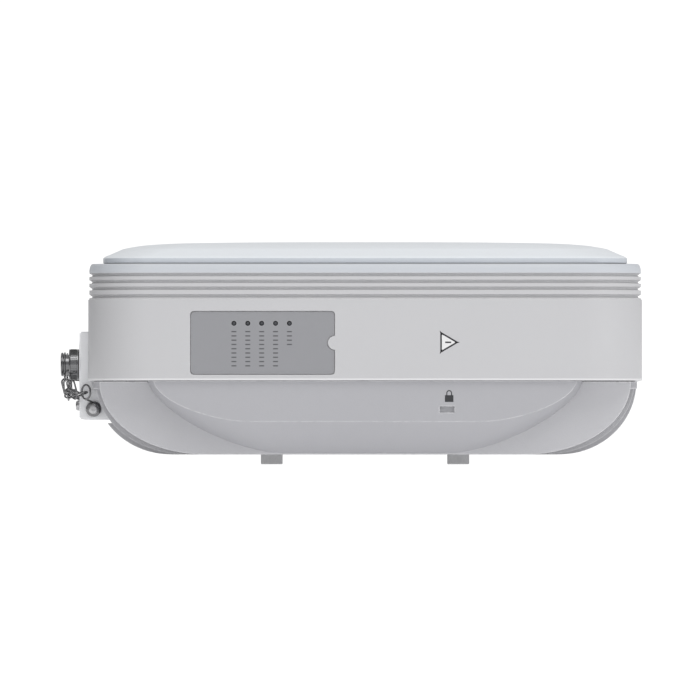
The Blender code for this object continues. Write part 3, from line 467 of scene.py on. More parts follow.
def block(low, high, edge=0.0, segments=2):
    """Block between two corners with eased edges."""
    shape = bmesh.new()
    size = Vector(high) - Vector(low)
    place = Matrix.Translation((Vector(high) + Vector(low)) / 2) @ Matrix.Diagonal((*size, 1))
    bmesh.ops.create_cube(shape, size=1, matrix=place)
    if edge:
        bmesh.ops.bevel(shape, geom=shape.edges, offset=edge, segments=segments, affect="EDGES")
    return shape


def turned(profile, axis, origin, steps=48, closed=False):
    """Turned solid; the profile gives (distance along the axis, radius)."""
    shape = bmesh.new()
    side = axis.cross(Z_AXIS if abs(axis.z) < 0.9 else X_AXIS).normalized()
    up = axis.cross(side)
    rings = []
    for along, radius in profile:
        center = Vector(origin) + axis * along
        turns = [2 * math.pi * i / steps for i in range(steps)]
        rings.append([center + (side * math.cos(t) + up * math.sin(t)) * radius for t in turns])
    return loft(shape, rings, closed)


def joined(*shapes):
    """Several shapes as one."""
    result = bmesh.new()
    for shape in shapes:
        bmesh.ops.recalc_face_normals(shape, faces=shape.faces)
        part = bpy.data.meshes.new("part")
        shape.to_mesh(part)
        shape.free()
        result.from_mesh(part)
        bpy.data.meshes.remove(part)
    return result


def make_object(name, shape, look, sharp=35):
    bmesh.ops.recalc_face_normals(shape, faces=shape.faces)
    mesh = bpy.data.meshes.new(name)
    shape.to_mesh(mesh)
    shape.free()
    mesh.shade_smooth()
    mesh.set_sharp_from_angle(angle=math.radians(sharp))
    mesh.materials.append(look)
    made = bpy.data.objects.new(name, mesh)
    bpy.context.scene.collection.objects.link(made)
    return made


def bake(item, sharp=35):
    """Turn an object's modifiers into plain mesh."""
    graph = bpy.context.evaluated_depsgraph_get()
    mesh = bpy.data.meshes.new_from_object(item.evaluated_get(graph))
    item.modifiers.clear()
    item.data = mesh
    mesh.shade_smooth()
    mesh.set_sharp_from_angle(angle=math.radians(sharp))
    return item


def cut(item, *shapes, sharp=35):
    """Cut shapes out of an object."""
    for shape in shapes:
        tool = make_object("cutter", shape, item.data.materials[0])
        trim = item.modifiers.new("trim", "BOOLEAN")
        trim.operation = "DIFFERENCE"
        trim.solver = "EXACT"
        trim.object = tool
        bake(item, sharp)
        bpy.data.objects.remove(tool)
    return item


def stand_for(item, body, slot, *nodes):
    """Finish a piece: it rides on a body and stands for CAD nodes, which it hides. The slot
    argument is not used.
    """
    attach(item, body)
    if nodes:
        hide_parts(*nodes)
    return item


def copies_tree(name, extra):
    """Geometry Nodes tree that copies an item on a line of points; the caller adds the steps."""
    tree = bpy.data.node_groups.new(name, "GeometryNodeTree")
    for label, kind in (("Item", "NodeSocketObject"), ("Count", "NodeSocketInt"),
                        ("Start", "NodeSocketVector"), extra, ("Finish", "NodeSocketMaterial")):
        tree.interface.new_socket(label, in_out="INPUT", socket_type=kind)
    tree.interface.new_socket("Geometry", in_out="OUTPUT", socket_type="NodeSocketGeometry")
    begin, end = tree.nodes.new("NodeGroupInput"), tree.nodes.new("NodeGroupOutput")
    line = tree.nodes.new("GeometryNodeMeshLine")
    source = tree.nodes.new("GeometryNodeObjectInfo")
    copies = tree.nodes.new("GeometryNodeInstanceOnPoints")
    real = tree.nodes.new("GeometryNodeRealizeInstances")
    finish = tree.nodes.new("GeometryNodeSetMaterial")
    for near, far in ((begin.outputs["Item"], source.inputs["Object"]),
                      (begin.outputs["Count"], line.inputs["Count"]),
                      (begin.outputs["Start"], line.inputs["Start Location"]),
                      (line.outputs["Mesh"], copies.inputs["Points"]),
                      (source.outputs["Geometry"], copies.inputs["Instance"]),
                      (copies.outputs["Instances"], real.inputs["Geometry"]),
                      (real.outputs["Geometry"], finish.inputs["Geometry"]),
                      (begin.outputs["Finish"], finish.inputs["Material"]),
                      (finish.outputs["Geometry"], end.inputs["Geometry"])):
        tree.links.new(near, far)
    return tree, begin, line, copies


def repeat_along(name, item, count, start, step, look):
    """Copies of an item in a row, as plain mesh."""
    tree, begin, line, _ = copies_tree(name + "_row", ("Step", "NodeSocketVector"))
    tree.links.new(begin.outputs["Step"], line.inputs["Offset"])
    return run_tree(name, tree, item, {"Item": item, "Count": count, "Start": start,
                                       "Step": step, "Finish": look})


def run_tree(name, tree, item, values):
    """Run a tree that copies an item, keep its result as a plain mesh and drop the item."""
    host = bpy.data.objects.new(name, bpy.data.meshes.new(name))
    bpy.context.scene.collection.objects.link(host)
    maker = host.modifiers.new("copies", "NODES")
    maker.node_group = tree
    for socket in tree.interface.items_tree:
        if socket.in_out == "INPUT":
            maker[socket.identifier] = values[socket.name]
    bake(host)
    bpy.data.objects.remove(item)
    return host


def swept_edge(flat, reach, bottom, top, power, steps):
    """Right half of a hull-like outline: flat below, rising to full reach at the top."""
    points = []
    for step in range(steps + 1):
        turn = math.radians(90 * step / steps)
        across = math.sin(turn) ** (2 / power)
        down = math.cos(turn) ** (2 / power)
        points.append((flat + (reach - flat) * across, top - (top - bottom) * down))
    return points


def mirrored(right):
    """Whole outline from its right half."""
    return right + [(-x, z) for x, z in reversed(right)]


def notched(right, notch_x, notch_z):
    """Outline whose left end is cut back above a height, to clear the port panel."""
    low = [(-x, z) for x, z in reversed(right) if z < notch_z]
    return right + [(-notch_x, right[-1][1]), (-notch_x, notch_z), (low[0][0], notch_z)] + low


# The fins take a lighter copy of the base's coat: painted light that offsets the shade the pads and
# housing throw on them. Both coats carry strong paler edges, which are painted edge highlights.
fin_coat_lightened = moulded("fin_powder_coat_lightened", (0.53, 0.53, 0.55), 0.5, 1300.0, 0.00003, 0.2, 1.0, 9.0)
coat = moulded("grey_powder_coat", (0.435, 0.435, 0.457), 0.5, 1300.0, 0.00003, 0.2, 0.8, 9.0)


def base_fins():
    """Fins as cast, with eased rims; the outer two on each side are shorter."""
    pitch = 2 * (FIN_HALF_Y - FIN_THICK / 2) / (FIN_COUNT - 1)
    top = PLATE_TOP - 0.2 * MM
    edge = 0.25 * MM
    curve = swept_edge(FIN_HALF_X - FIN_CORNER, FIN_HALF_X, FIN_BOTTOM, top, 2, 28)
    outline = notched(curve, NOTCH_X, panel_low.z - 2 * MM)
    master = make_object("fin", prism(outline, -FIN_THICK / 2, FIN_THICK / 2, edge), fin_coat_lightened)
    inner = FIN_COUNT - 4
    start = (0, -pitch * (inner - 1) / 2, 0)
    row = repeat_along("base_fins_inner", master, inner, start, (0, pitch, 0), fin_coat_lightened)
    stand_for(row, "terminal", "base_paint", "heat_sink_base")
    outer = []
    for place, flat, reach in ((9, 75 * MM, FIN_HALF_X - 3 * MM),
                               (8, 84 * MM, FIN_HALF_X - 1.2 * MM)):
        for sign in (-1, 1):
            y = sign * place * pitch
            curve = mirrored(swept_edge(flat, reach, FIN_BOTTOM, top, 2, 32))
            outer.append(prism(curve, y - FIN_THICK / 2, y + FIN_THICK / 2, edge))
    fins = make_object("base_fins_outer", joined(*outer), fin_coat_lightened)
    stand_for(fins, "terminal", "base_paint", "heat_sink_base")


def side_pad(sign):
    """Raised pad: upright face above a crease line, sloping back to the fins below it."""
    top = PLATE_TOP + 0.12 * MM
    low = FIN_BOTTOM + 0.05 * MM
    foot = mirrored(swept_edge(40 * MM, 102 * MM, low, top, 1.5, 36))
    face = mirrored(swept_edge(54 * MM, 99 * MM, 20 * MM, top, 1.7, 36))
    start = FIN_HALF_Y - 0.6 * MM
    rings = [[(body_x + x, sign * (start - 1.4 * MM), z) for x, z in foot]]
    steps = 8
    for step in range(steps + 1):
        part = step / steps
        y = start + (PAD_Y - start) * part
        ring = [(body_x + a[0] + (b[0] - a[0]) * part, sign * y, a[1] + (b[1] - a[1]) * part)
                for a, b in zip(foot, face)]
        rings.append(ring)
    return loft(bmesh.new(), rings)


def seal_groove(half_width, low, high):
    """Ring that cuts the housing seal's groove."""
    section = ((half_width, low), (half_width, high), (-half_width, high), (-half_width, low))
    return loft(bmesh.new(), [rounded_ring(SEAL_HALF_X + w, SEAL_HALF_Y + w, INNER_CORNER + w, z,
                                           SEAL_CENTER) for w, z in section], closed=True)


def cavity(low, high):
    """Inside of the tub between two heights."""
    return loft(bmesh.new(), [rounded_ring(CAVITY_HALF_X, CAVITY_HALF_Y, INNER_CORNER, z,
                                           CAVITY_CENTER) for z in (low, high)])


def base_plate_and_tub():
    """Top plate with its seal groove, and the tub for the boards below it."""
    low = PLATE_TOP - PLATE_THICK
    ease = 0.4 * MM
    side = FIN_HALF_Y - 0.15 * MM    # just inside the outer fins' faces
    plate = loft(bmesh.new(), [rounded_ring(FIN_HALF_X - e, side - e, 7 * MM, z) for e, z in
                               ((ease, low), (0, low + ease), (0, PLATE_TOP - ease),
                                (ease, PLATE_TOP))])
    casting = make_object("base_plate", plate, coat)
    cut(casting, block((base_low.x - 10 * MM, -NOTCH_Y, low - MM),
                       (body_x - NOTCH_X, NOTCH_Y, PLATE_TOP + MM)),
        seal_groove(1.5 * MM, PLATE_TOP - 1.5 * MM, PLATE_TOP + MM),
        cavity(low - MM, PLATE_TOP + MM))
    stand_for(casting, "terminal", "base_paint", "heat_sink_base")
    tub_side = CAVITY_HALF_Y + TUB_WALL
    tub_end = CAVITY_CENTER + CAVITY_HALF_X + TUB_WALL
    tub = block((body_x - NOTCH_X, -tub_side, TUB_BOTTOM),
                (body_x + tub_end, tub_side, low + MM), 1.0 * MM)
    tub_piece = make_object("base_tub", tub, coat)
    cut(tub_piece, cavity(TUB_FLOOR, PLATE_TOP))
    stand_for(tub_piece, "terminal", "base_paint", "heat_sink_base")


def base_sides():
    """Raised pads with the lock slot, and the bulkhead behind the port panel."""
    pads = make_object("base_side_pads", joined(side_pad(-1), side_pad(1)), coat, 20)
    width, depth, height = LOCK_SLOT_HALF
    cut(pads, block(LOCK_SLOT + Vector((-width, -MM, -height)),
                    LOCK_SLOT + Vector((width, depth, height))), sharp=20)
    stand_for(pads, "terminal", "base_paint", "heat_sink_base")
    wall, opening = 3 * MM, 40 * MM
    bulkhead = make_object("base_bulkhead", block(
        (body_x - NOTCH_X, panel_low.y, PLATE_TOP - 2 * MM),
        (body_x - NOTCH_X + wall, panel_high.y, panel_high.z), 0.5 * MM), coat)
    cut(bulkhead, block((body_x - NOTCH_X - MM, -opening, PLATE_TOP + 6 * MM),
                        (body_x - NOTCH_X + wall + MM, opening, panel_high.z - 4 * MM)))
    stand_for(bulkhead, "terminal", "base_paint", "heat_sink_base")


def base_bosses():
    """Bosses with blind holes and the posts inside the tub, in a much paler copy of the coat."""
    shapes = []
    profile = ((13 * MM, 0.4 * MM), (12 * MM, BOSS_HOLE), (0.5 * MM, BOSS_HOLE),
               (0, BOSS_HOLE + 0.5 * MM), (0, BOSS_RADIUS - 0.5 * MM),
               (0.15 * MM, BOSS_RADIUS - 0.15 * MM), (0.5 * MM, BOSS_RADIUS),
               (19 * MM, BOSS_RADIUS))
    ease = 0.3 * MM
    for sign_x, sign_y in CORNER_SIGNS:
        place = Vector((body_x + sign_x * BOSS_PLACE, sign_y * BOSS_PLACE, 0))
        shapes.append(turned(profile, Z_AXIS, place, 40))
        for far_x, far_y, radius, top in TUB_POSTS:
            foot = Vector((body_x + sign_x * far_x, sign_y * far_y, 0))
            post = ((TUB_FLOOR - MM, radius), (top - ease, radius), (top, radius - ease))
            shapes.append(turned(post, Z_AXIS, foot, 32))
    # Much paler than the base's coat: painted light that lifts the shade falling on the bosses
    # under the body.
    boss_look_lightened = moulded("boss_coat_lightened", (0.80, 0.80, 0.81), 0.5, 1500.0, 0.00002, 0.2, 0.3)
    bosses = make_object("base_bosses", joined(*shapes), boss_look_lightened)
    stand_for(bosses, "terminal", "base_paint", "heat_sink_base")


base_fins()
base_plate_and_tub()
base_sides()
base_bosses()


# === Seals ====================================================================================
# Black moulded rubber rings that lie in grooves: between base and housing, between housing and
# radome, and behind the port panel. They keep their CAD shape; only an edge of them ever shows.
rubber = moulded("black_seal_rubber", (0.025, 0.025, 0.026), 0.75, 900.0, 0.00003, 0.35, 0.1)
for seal in ("housing_gasket", "radome_gasket", "port_panel_gasket"):
    cover_node(seal, rubber)


# === Front housing ============================================================================
# A deep square frame moulded in light grey plastic: a plain wall, four grooves round the top, a
# rounded rim, a shelf for the radome and a bottom flange. Screwed to the base from below.
HOUSING_CORNER = 28.5 * MM
WALL = 3.2 * MM
BAND_STEP = 77.4 * MM
BAND_INSET = 0.5 * MM
GROOVES = (78.8 * MM, 82.4 * MM, 85.6 * MM, 88.8 * MM)
GROOVE_HALF, GROOVE_DEPTH = 0.85 * MM, 1.5 * MM
RIM_X, RIM_Z = 1.6 * MM, 3.7 * MM
RADOME_GROOVE = (9.7 * MM, 12.7 * MM)    # seal groove in the shelf, inwards from the wall
GROOVE_DROP = 1.5 * MM
SHELF_WIDTH, SHELF_THICK = 17.0 * MM, 4.0 * MM
FLANGE_THICK = 3.0 * MM
FLANGE_OPENING = (103.0 * MM, 102.5 * MM)
PANEL_BAY = body_x - 108.4 * MM
COVER_SCREW_PLACES = [(body_x + x * 120 * MM, y * 104.8 * MM) for x, y in CORNER_SIGNS]
LABEL_X, LABEL_Z = body_x - 48.0 * MM, 56.85 * MM
LABEL_HALF_X, LABEL_HALF_Z = 33.9 * MM, 14.95 * MM
LABEL_CORNER, LABEL_KEY = 1.8 * MM, 3.3 * MM
LABEL_RECESS = 1.4 * MM
LED_Z, LED_PITCH = 66.0 * MM, 6.49 * MM
LED_HOLE = 1.2 * MM
label_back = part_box("led_label")[1][1]
led_xs = [body_x - 61.4 * MM + i * LED_PITCH for i in range(5)]


def body_ring(inset, z):
    half = body_half - inset
    return rounded_ring(half, half, max(HOUSING_CORNER - inset, 6 * MM), z, steps=20)


def housing_outside():
    """Outer face from the bottom edge to the rim, as (inset, height) pairs."""
    low = housing_low.z
    points = [(0.25 * MM, low), (0.07 * MM, low + 0.07 * MM), (0, low + 0.25 * MM),
              (0, BAND_STEP - 0.45 * MM), (0.12 * MM, BAND_STEP - 0.15 * MM),
              (BAND_INSET, BAND_STEP)]
    for middle in GROOVES:
        for step in range(9):
            turn = math.pi * step / 8
            depth = GROOVE_DEPTH * math.sin(turn) ** 0.6
            points.append((BAND_INSET + depth, middle - GROOVE_HALF * math.cos(turn)))
    for step in range(9):
        turn = math.radians(90 * step / 8)
        points.append((BAND_INSET + RIM_X * (1 - math.cos(turn)),
                       housing_high.z - RIM_Z * (1 - math.sin(turn))))
    return points


def label_outline(shrink, steps=14):
    """Label from the front: round corners and a half-round bite in its right edge."""
    half_x, half_z = LABEL_HALF_X - shrink, LABEL_HALF_Z - shrink
    plain = rounded_ring(half_x, half_z, LABEL_CORNER, 0, steps=6)
    key = LABEL_KEY + shrink
    bite = []
    for step in range(steps + 1):
        turn = math.radians(-90 + 180 * step / steps)
        bite.append((half_x - key * math.cos(turn), key * math.sin(turn)))
    outline = [(x - body_x, y) for x, y, _ in plain] + bite
    return [(LABEL_X - body_x + x, LABEL_Z + z) for x, z in outline]


def light_holes(start, length, steps):
    """Five round holes through the front wall, for the light pipes."""
    return joined(*[turned(((0, LED_HOLE), (length, LED_HOLE)), Y_AXIS, (x, start, LED_Z), steps)
                    for x in led_xs])


def housing_shell(plastic):
    """The frame itself, with the label's pocket, the lights' holes and the port bay cut out."""
    top, low = housing_high.z, housing_low.z
    near, far = RADOME_GROOVE
    inside = [(near, top), (near, top - GROOVE_DROP), (far, top - GROOVE_DROP), (far, top),
              (SHELF_WIDTH, top), (SHELF_WIDTH, top - SHELF_THICK), (WALL, top - SHELF_THICK),
              (WALL, low + FLANGE_THICK)]
    rings = [body_ring(inset, z) for inset, z in housing_outside() + inside]
    for z in (low + FLANGE_THICK, low):
        rings.append(rounded_ring(*FLANGE_OPENING, INNER_CORNER, z, steps=20))
    shell = loft(bmesh.new(), rings, closed=True)
    housing = make_object("front_housing_shell", shell, plastic, 30)
    front = -body_half
    pocket = prism(label_outline(0), front - MM, front + LABEL_RECESS)
    side = panel_high.y + GAP
    opening = block((housing_low.x - MM, -side, low - MM), (PANEL_BAY, side, panel_high.z + GAP))
    cut(housing, pocket, opening, light_holes(front - MM, 6 * MM, 24), sharp=30)
    stand_for(housing, "terminal", "housing_plastic", "front_housing")


def housing_bosses(plastic):
    """Tubes in the corners that take the cover screws."""
    low, top = housing_low.z + 0.5 * MM, 52 * MM
    bore, rim = 2.3 * MM, 4.2 * MM
    section = ((low, bore), (top, bore), (top, rim), (low, rim))
    tubes = [turned(section, Z_AXIS, (x, y, 0), 24, closed=True) for x, y in COVER_SCREW_PLACES]
    bosses = make_object("front_housing_bosses", joined(*tubes), plastic)
    stand_for(bosses, "terminal", "housing_plastic", "front_housing")


# Painted light on the housing: a paler band along the bottom edge is a painted highlight over the
# dark gap to the base, and a paler, bluer band on the rounded rim is a painted highlight.
bottom_lip_highlight = (0, housing_low.z + 0.9 * MM, (0.74, 0.74, 0.75))
rim_highlight = (GROOVES[-1] + GROOVE_HALF, housing_high.z, (0.575, 0.60, 0.635))
housing_plastic = moulded("housing_plastic", (0.565, 0.565, 0.577), 0.42, 2100.0, 0.000012,
                          light_and_shade_bands=(bottom_lip_highlight, rim_highlight))
housing_shell(housing_plastic)
housing_bosses(housing_plastic)


# === Radome ===================================================================================
# A thin white dome, moulded in one piece, that covers the antennas and lets radio through. It
# stands on its seal with a small upright lip and has a faintly bluish satin surface.
radome_low, radome_high = (Vector(corner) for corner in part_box("radome_cover"))
RADOME_CORNER = 21.5 * MM
RADOME_LIP = 2.3 * MM
# Each pair is (distance in from the lip, drop below the crown), in millimetres.
DOME_OUTSIDE = ((0, 8.4), (1.1, 7.5), (3.2, 6.6), (7.4, 4.7), (9.7, 3.75), (14.4, 2.8),
                (20, 1.95), (33.6, 0.95), (60, 0.3), (95, 0))
DOME_INSIDE = ((95, 2.4), (60, 2.7), (33.6, 3.35), (20, 4.35), (12, 6.0), (9, 7.0))


def smooth_curve(points, spans):
    """Catmull-Rom curve through points of any dimension."""
    ends = [points[0], *points, points[-1]]
    result = []
    for i in range(1, len(ends) - 2):
        for step in range(spans):
            t = step / spans
            result.append(tuple(
                0.5 * (2 * b + (c - a) * t + (2 * a - 5 * b + 4 * c - d) * t * t
                       + (3 * b - a - 3 * c + d) * t ** 3)
                for a, b, c, d in zip(ends[i - 1], ends[i], ends[i + 1], ends[i + 2])))
    return result + [points[-1]]


def dome_ring(inset, z):
    """Plan ring of the dome; its corners grow rounder towards the crown."""
    half = (radome_high.x - radome_low.x) / 2 - inset
    return rounded_ring(half, half, min(RADOME_CORNER + 0.35 * inset, half), z, steps=20)


def radome():
    low, crown = radome_low.z, radome_high.z
    skin = smooth_curve([(i * MM, crown - d * MM) for i, d in DOME_OUTSIDE], 4)
    foot = ((9 * MM, low), (0.3 * MM, low), (0.08 * MM, low + 0.1 * MM), (0, low + 0.3 * MM))
    inner = [(i * MM, crown - d * MM) for i, d in DOME_INSIDE]
    rings = [dome_ring(i, z) for i, z in (*inner, *foot, *skin)]
    # The upright lip is painted darker than the dome: painted shade under the dome's edge.
    lip_shade = (0, low + RADOME_LIP, (0.67, 0.71, 0.755))
    white = moulded("radome_white", (0.84, 0.875, 0.905), 0.32, 1800.0, 0.000006, 0.06, 0.1, 7.0,
                    (lip_shade,))
    dome = make_object("radome_dome", loft(bmesh.new(), rings), white, 28)
    stand_for(dome, "terminal", "radome_plastic", "radome_cover")


radome()


# === Indicator label and printed marks ========================================================
# A grey polycarbonate film in a shallow recess with a half-round key at its right edge. Five
# smoked light pipes show through it, and short printed ticks stand below each of them.
FILM_FACE = -body_half + 0.5 * MM
INK = 0.02 * MM


def ink(name, color):
    return moulded(name, color, 0.6, 2600.0, 0.000002, 0.1, 0.0, 30.0)


dark_ink = ink("dark_grey_ink", (0.035, 0.036, 0.04))


def label_film():
    film = moulded("label_grey_film", (0.30, 0.302, 0.318), 0.38, 3000.0, 0.000004, 0.15, 0.2,
                   9.0)
    sheet = prism(label_outline(GAP), FILM_FACE, label_back, 0.12 * MM)
    label = make_object("indicator_label", sheet, film)
    cut(label, light_holes(-body_half, 4 * MM, 28))
    stand_for(label, "terminal", "label_film", "led_label")


def light_pipes():
    """Comb of light pipes: a bar behind the wall and five pipes with domed ends."""
    smoked = moulded("smoked_acrylic", (0.045, 0.048, 0.055), 0.12, 1200.0, 0.000001, 0.1, 0.0)
    low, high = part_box("led_light_guide")
    shapes = [block((low[0], -body_half + WALL + GAP, low[2]), high, 0.4 * MM)]
    radius = 0.9 * MM
    profile = ((0, 0.25 * MM), (0.08 * MM, 0.55 * MM), (0.25 * MM, 0.8 * MM), (0.5 * MM, radius),
               (4 * MM, radius))
    for x in led_xs:
        shapes.append(turned(profile, Y_AXIS, (x, FILM_FACE, LED_Z), 28))
    guide = make_object("light_guide_comb", joined(*shapes), smoked)
    stand_for(guide, "terminal", "light_guide_acrylic", "led_light_guide")


def printed_ticks():
    """Columns of short ticks below the indicators; the last column is shorter."""
    face = FILM_FACE - INK
    grey_ink = ink("mid_grey_ink", (0.10, 0.10, 0.107))
    half_length, half_width = 1.15 * MM, 0.28 * MM
    for i, x in enumerate(led_xs):
        count = 4 if i == len(led_xs) - 1 else 9
        tick = make_object("tick", block((-half_length, face, -half_width),
                                         (half_length, FILM_FACE + INK, half_width)), grey_ink)
        column = repeat_along(f"label_ticks_{i + 1}", tick, count, (x, 0, LED_Z - 3.9 * MM),
                              (0, 0, -2.0 * MM), grey_ink)
        stand_for(column, "terminal", "label_film")


def stroke(points, width, low, high):
    """Flat closed line of even width through points (x, z) about the body's middle."""
    count = len(points)
    middle = sum((Vector(p) for p in points), Vector((0, 0))) / count
    rings = []
    for scale_side, y in ((-1, low), (1, low), (1, high), (-1, high)):
        ring = []
        for i, point in enumerate(points):
            before = (Vector(point) - Vector(points[i - 1])).normalized()
            after = (Vector(points[(i + 1) % count]) - Vector(point)).normalized()
            outward = Vector((before.y + after.y, -before.x - after.x)).normalized()
            if outward.dot(Vector(point) - middle) < 0:
                outward = -outward
            reach = scale_side * width / 2 / max(abs(outward.dot(Vector((after.y, -after.x)))), 0.3)
            spot = Vector(point) + outward * reach
            ring.append((body_x + spot.x, y, spot.y))
        rings.append(ring)
    return loft(bmesh.new(), rings, closed=True)


def triangle_mark(face):
    """A plain triangle on its side with a short bar in it: pale field, dark line."""
    left, right, half, middle = 35.5 * MM, 43.0 * MM, 4.4 * MM, 57.1 * MM
    corners = ((left, middle - half), (right, middle), (left, middle + half))
    outline = []
    for i, corner in enumerate(corners):
        near, far = Vector(corners[i - 1]), Vector(corners[(i + 1) % 3])
        for step in range(5):
            share = 0.92 + 0.08 * math.sin(math.pi * step / 4)
            lean = (far * step + near * (4 - step)) / 4
            outline.append(tuple(Vector(corner) * share + lean * (1 - share)))
    light_ink = ink("pale_ink", (0.80, 0.80, 0.80))
    field = make_object("triangle_field", prism(outline, face - INK, face + INK), light_ink)
    stand_for(field, "terminal", "label_film")
    bar_half = 0.35 * MM
    bar = block((body_x + 37.4 * MM, face - 2.5 * INK, middle - bar_half),
                (body_x + 40.2 * MM, face - INK / 2, middle + bar_half))
    line = joined(stroke(outline, 0.75 * MM, face - 2 * INK, face + INK), bar)
    stand_for(make_object("triangle_line", line, dark_ink), "terminal", "label_film")


def padlock_mark(face):
    """A plain padlock over the lock slot: a square body and a round shackle."""
    x, low = 39.3 * MM, 29.2 * MM
    half, height = 2 * MM, 3.2 * MM
    body = prism([(x - half, low), (x + half, low), (x + half, low + height),
                  (x - half, low + height)], face - INK, face + INK)
    arch = []
    for reach, steps in ((1.35 * MM, range(9)), (0.85 * MM, range(8, -1, -1))):
        for step in steps:
            turn = math.pi * step / 8
            arch.append((x + reach * math.cos(turn), low + 4.2 * MM + reach * math.sin(turn)))
    foot = low + 3.1 * MM
    arch = [(arch[0][0], foot), *arch[:9], (arch[8][0], foot), (arch[9][0], foot), *arch[9:],
            (arch[-1][0], foot)]
    lock = make_object("padlock_mark", joined(body, prism(arch, face - INK, face + INK)), dark_ink)
    stand_for(lock, "terminal", "label_film")


label_film()
light_pipes()
printed_ticks()
triangle_mark(-body_half)
padlock_mark(-PAD_Y)


# === Port panel ===============================================================================
# A separate die-cast cover, powder coated like the base, that closes the port bay. It carries
# the three ports in shallow round recesses and is held by two sunk screws.
joints = {joint["name"]: joint for joint in frame["joints"]}
port_axes = [Vector(joints[f"port_{i}_cap_spin"]["pos_m"]) for i in (1, 2, 3)]
panel_screw_seats = [Vector((panel_low.x, y * MM, 29 * MM)) for y in (-55, 55)]
EARTH_SCREW = Vector((panel_low.x, 38 * MM, 47 * MM))
PANEL_BACK = body_x - 112.6 * MM


def port_panel():
    """The cover with its port recesses, screw seats and earth screw hole, and a raised rim
    round each recess."""
    paint = moulded("panel_powder_coat", (0.88, 0.885, 0.90), 0.48, 1300.0, 0.00003, size=9.0)
    low, high = panel_low, Vector((PANEL_BACK, panel_high.y, panel_high.z))
    panel = make_object("port_panel_casting", block(low, high, 0.7 * MM, 4), paint)
    wall = 3 * MM
    hollow = block((low.x + 5 * MM, low.y + wall, low.z + wall),
                   (high.x + MM, high.y - wall, high.z - wall))
    through, bore, recess = -6 * MM, 6.3 * MM, 9.8 * MM
    port_hole = ((through, bore), (-2 * MM, bore), (-2 * MM, recess), (-0.3 * MM, recess),
                 (0, recess + 0.3 * MM), (MM, recess + 0.3 * MM))
    shank, head = 2.3 * MM, 3.8 * MM
    screw_hole = ((through, shank), (-3.5 * MM, shank), (-3.5 * MM, head), (-0.2 * MM, head),
                  (0, head + 0.2 * MM), (MM, head + 0.2 * MM))
    earth_hole = ((through, 2.8 * MM), (MM, 2.8 * MM))
    tools = [turned(port_hole, -X_AXIS, (low.x, p.y, p.z), 64) for p in port_axes]
    tools += [turned(screw_hole, -X_AXIS, seat, 40) for seat in panel_screw_seats]
    tools.append(turned(earth_hole, -X_AXIS, EARTH_SCREW, 32))
    cut(panel, hollow, *tools)
    stand_for(panel, "terminal", "panel_paint", "port_panel")
    section = ((-0.2 * MM, 10.0 * MM), (0.12 * MM, 10.1 * MM), (0.2 * MM, 10.4 * MM),
               (0.12 * MM, 11.0 * MM), (-0.2 * MM, 11.1 * MM))
    rims = [turned(section, -X_AXIS, (low.x, p.y, p.z), 64, closed=True) for p in port_axes]
    rim = make_object("port_panel_rims", joined(*rims), paint)
    stand_for(rim, "terminal", "panel_paint", "port_panel")


port_panel()


# === Ports and dust caps ======================================================================
# Each port is a turned, plated collar with a fine thread and a black contact insert. A knurled
# metal cap screws over it; a wire ring lies loose in the cap's neck.
chrome = metal("bright_chrome", (0.215, 0.215, 0.22), 0.09, (0.06, 1.0, 1.0), 0.000003, 0.1)
nickel = metal("turned_nickel", (0.62, 0.61, 0.60), 0.2, (1.0, 0.06, 0.06), 0.000006, 0.14)
nylon = moulded("insert_black_nylon", (0.02, 0.02, 0.021), 0.45, 1400.0, 0.00001, 0.1, 0.1)
THREAD = 5.7 * MM                 # radii, unless said otherwise
BORE = THREAD - 1.4 * MM
COLLAR_BODY, COLLAR_FLANGE = 6.0 * MM, 9.5 * MM
COLLAR_LENGTH = 2.8 * MM          # from the panel's face to the collar's end
CAP_GRIP, CAP_BORE = 7.2 * MM, 6.0 * MM
CAP_NECK, CAP_KNOB = 4.7 * MM, 5.6 * MM
CAP_END = body_x - 143.2 * MM
KNOB_LENGTH, NECK_LENGTH = 1.3 * MM, 2.65 * MM
RING_RADIUS = 5.4 * MM
WIRE_HALF = 0.44 * MM
RING_HALF = 0.4 * MM
LINK_BEND = 1.8 * MM


def repeat_around(name, item, count, center, look):
    """Copies of an item turned about an X-wise axis through a centre, as plain mesh."""
    tree, begin, line, copies = copies_tree(name + "_circle", ("Turn", "NodeSocketFloat"))
    line.inputs["Offset"].default_value = (0, 0, 0)
    index = tree.nodes.new("GeometryNodeInputIndex")
    turn = maths(tree, "MULTIPLY", index.outputs["Index"], begin.outputs["Turn"])
    spin = tree.nodes.new("ShaderNodeCombineXYZ")
    tree.links.new(turn, spin.inputs["X"])
    tree.links.new(spin.outputs["Vector"], copies.inputs["Rotation"])
    return run_tree(name, tree, item, {"Item": item, "Count": count, "Start": center,
                                       "Turn": 2 * math.pi / count, "Finish": look})


def wire_loop(points, radius, sides=12):
    """Round wire that follows a closed line."""
    count = len(points)
    normal = Vector((0, 0, 0))
    for i in range(count):
        normal += (points[i] - points[0]).cross(points[(i + 1) % count] - points[0])
    normal.normalize()
    rings = []
    for i, point in enumerate(points):
        along = (points[(i + 1) % count] - points[i - 1]).normalized()
        side = along.cross(normal)
        turns = [2 * math.pi * k / sides for k in range(sides)]
        rings.append([point + (side * math.cos(t) + normal * math.sin(t)) * radius
                      for t in turns])
    return loft(bmesh.new(), rings, closed=True)


def circle_path(center, axis, radius, steps):
    side = axis.cross(Z_AXIS if abs(axis.z) < 0.9 else X_AXIS).normalized()
    up = axis.cross(side)
    turns = [2 * math.pi * i / steps for i in range(steps)]
    return [center + (side * math.cos(t) + up * math.sin(t)) * radius for t in turns]


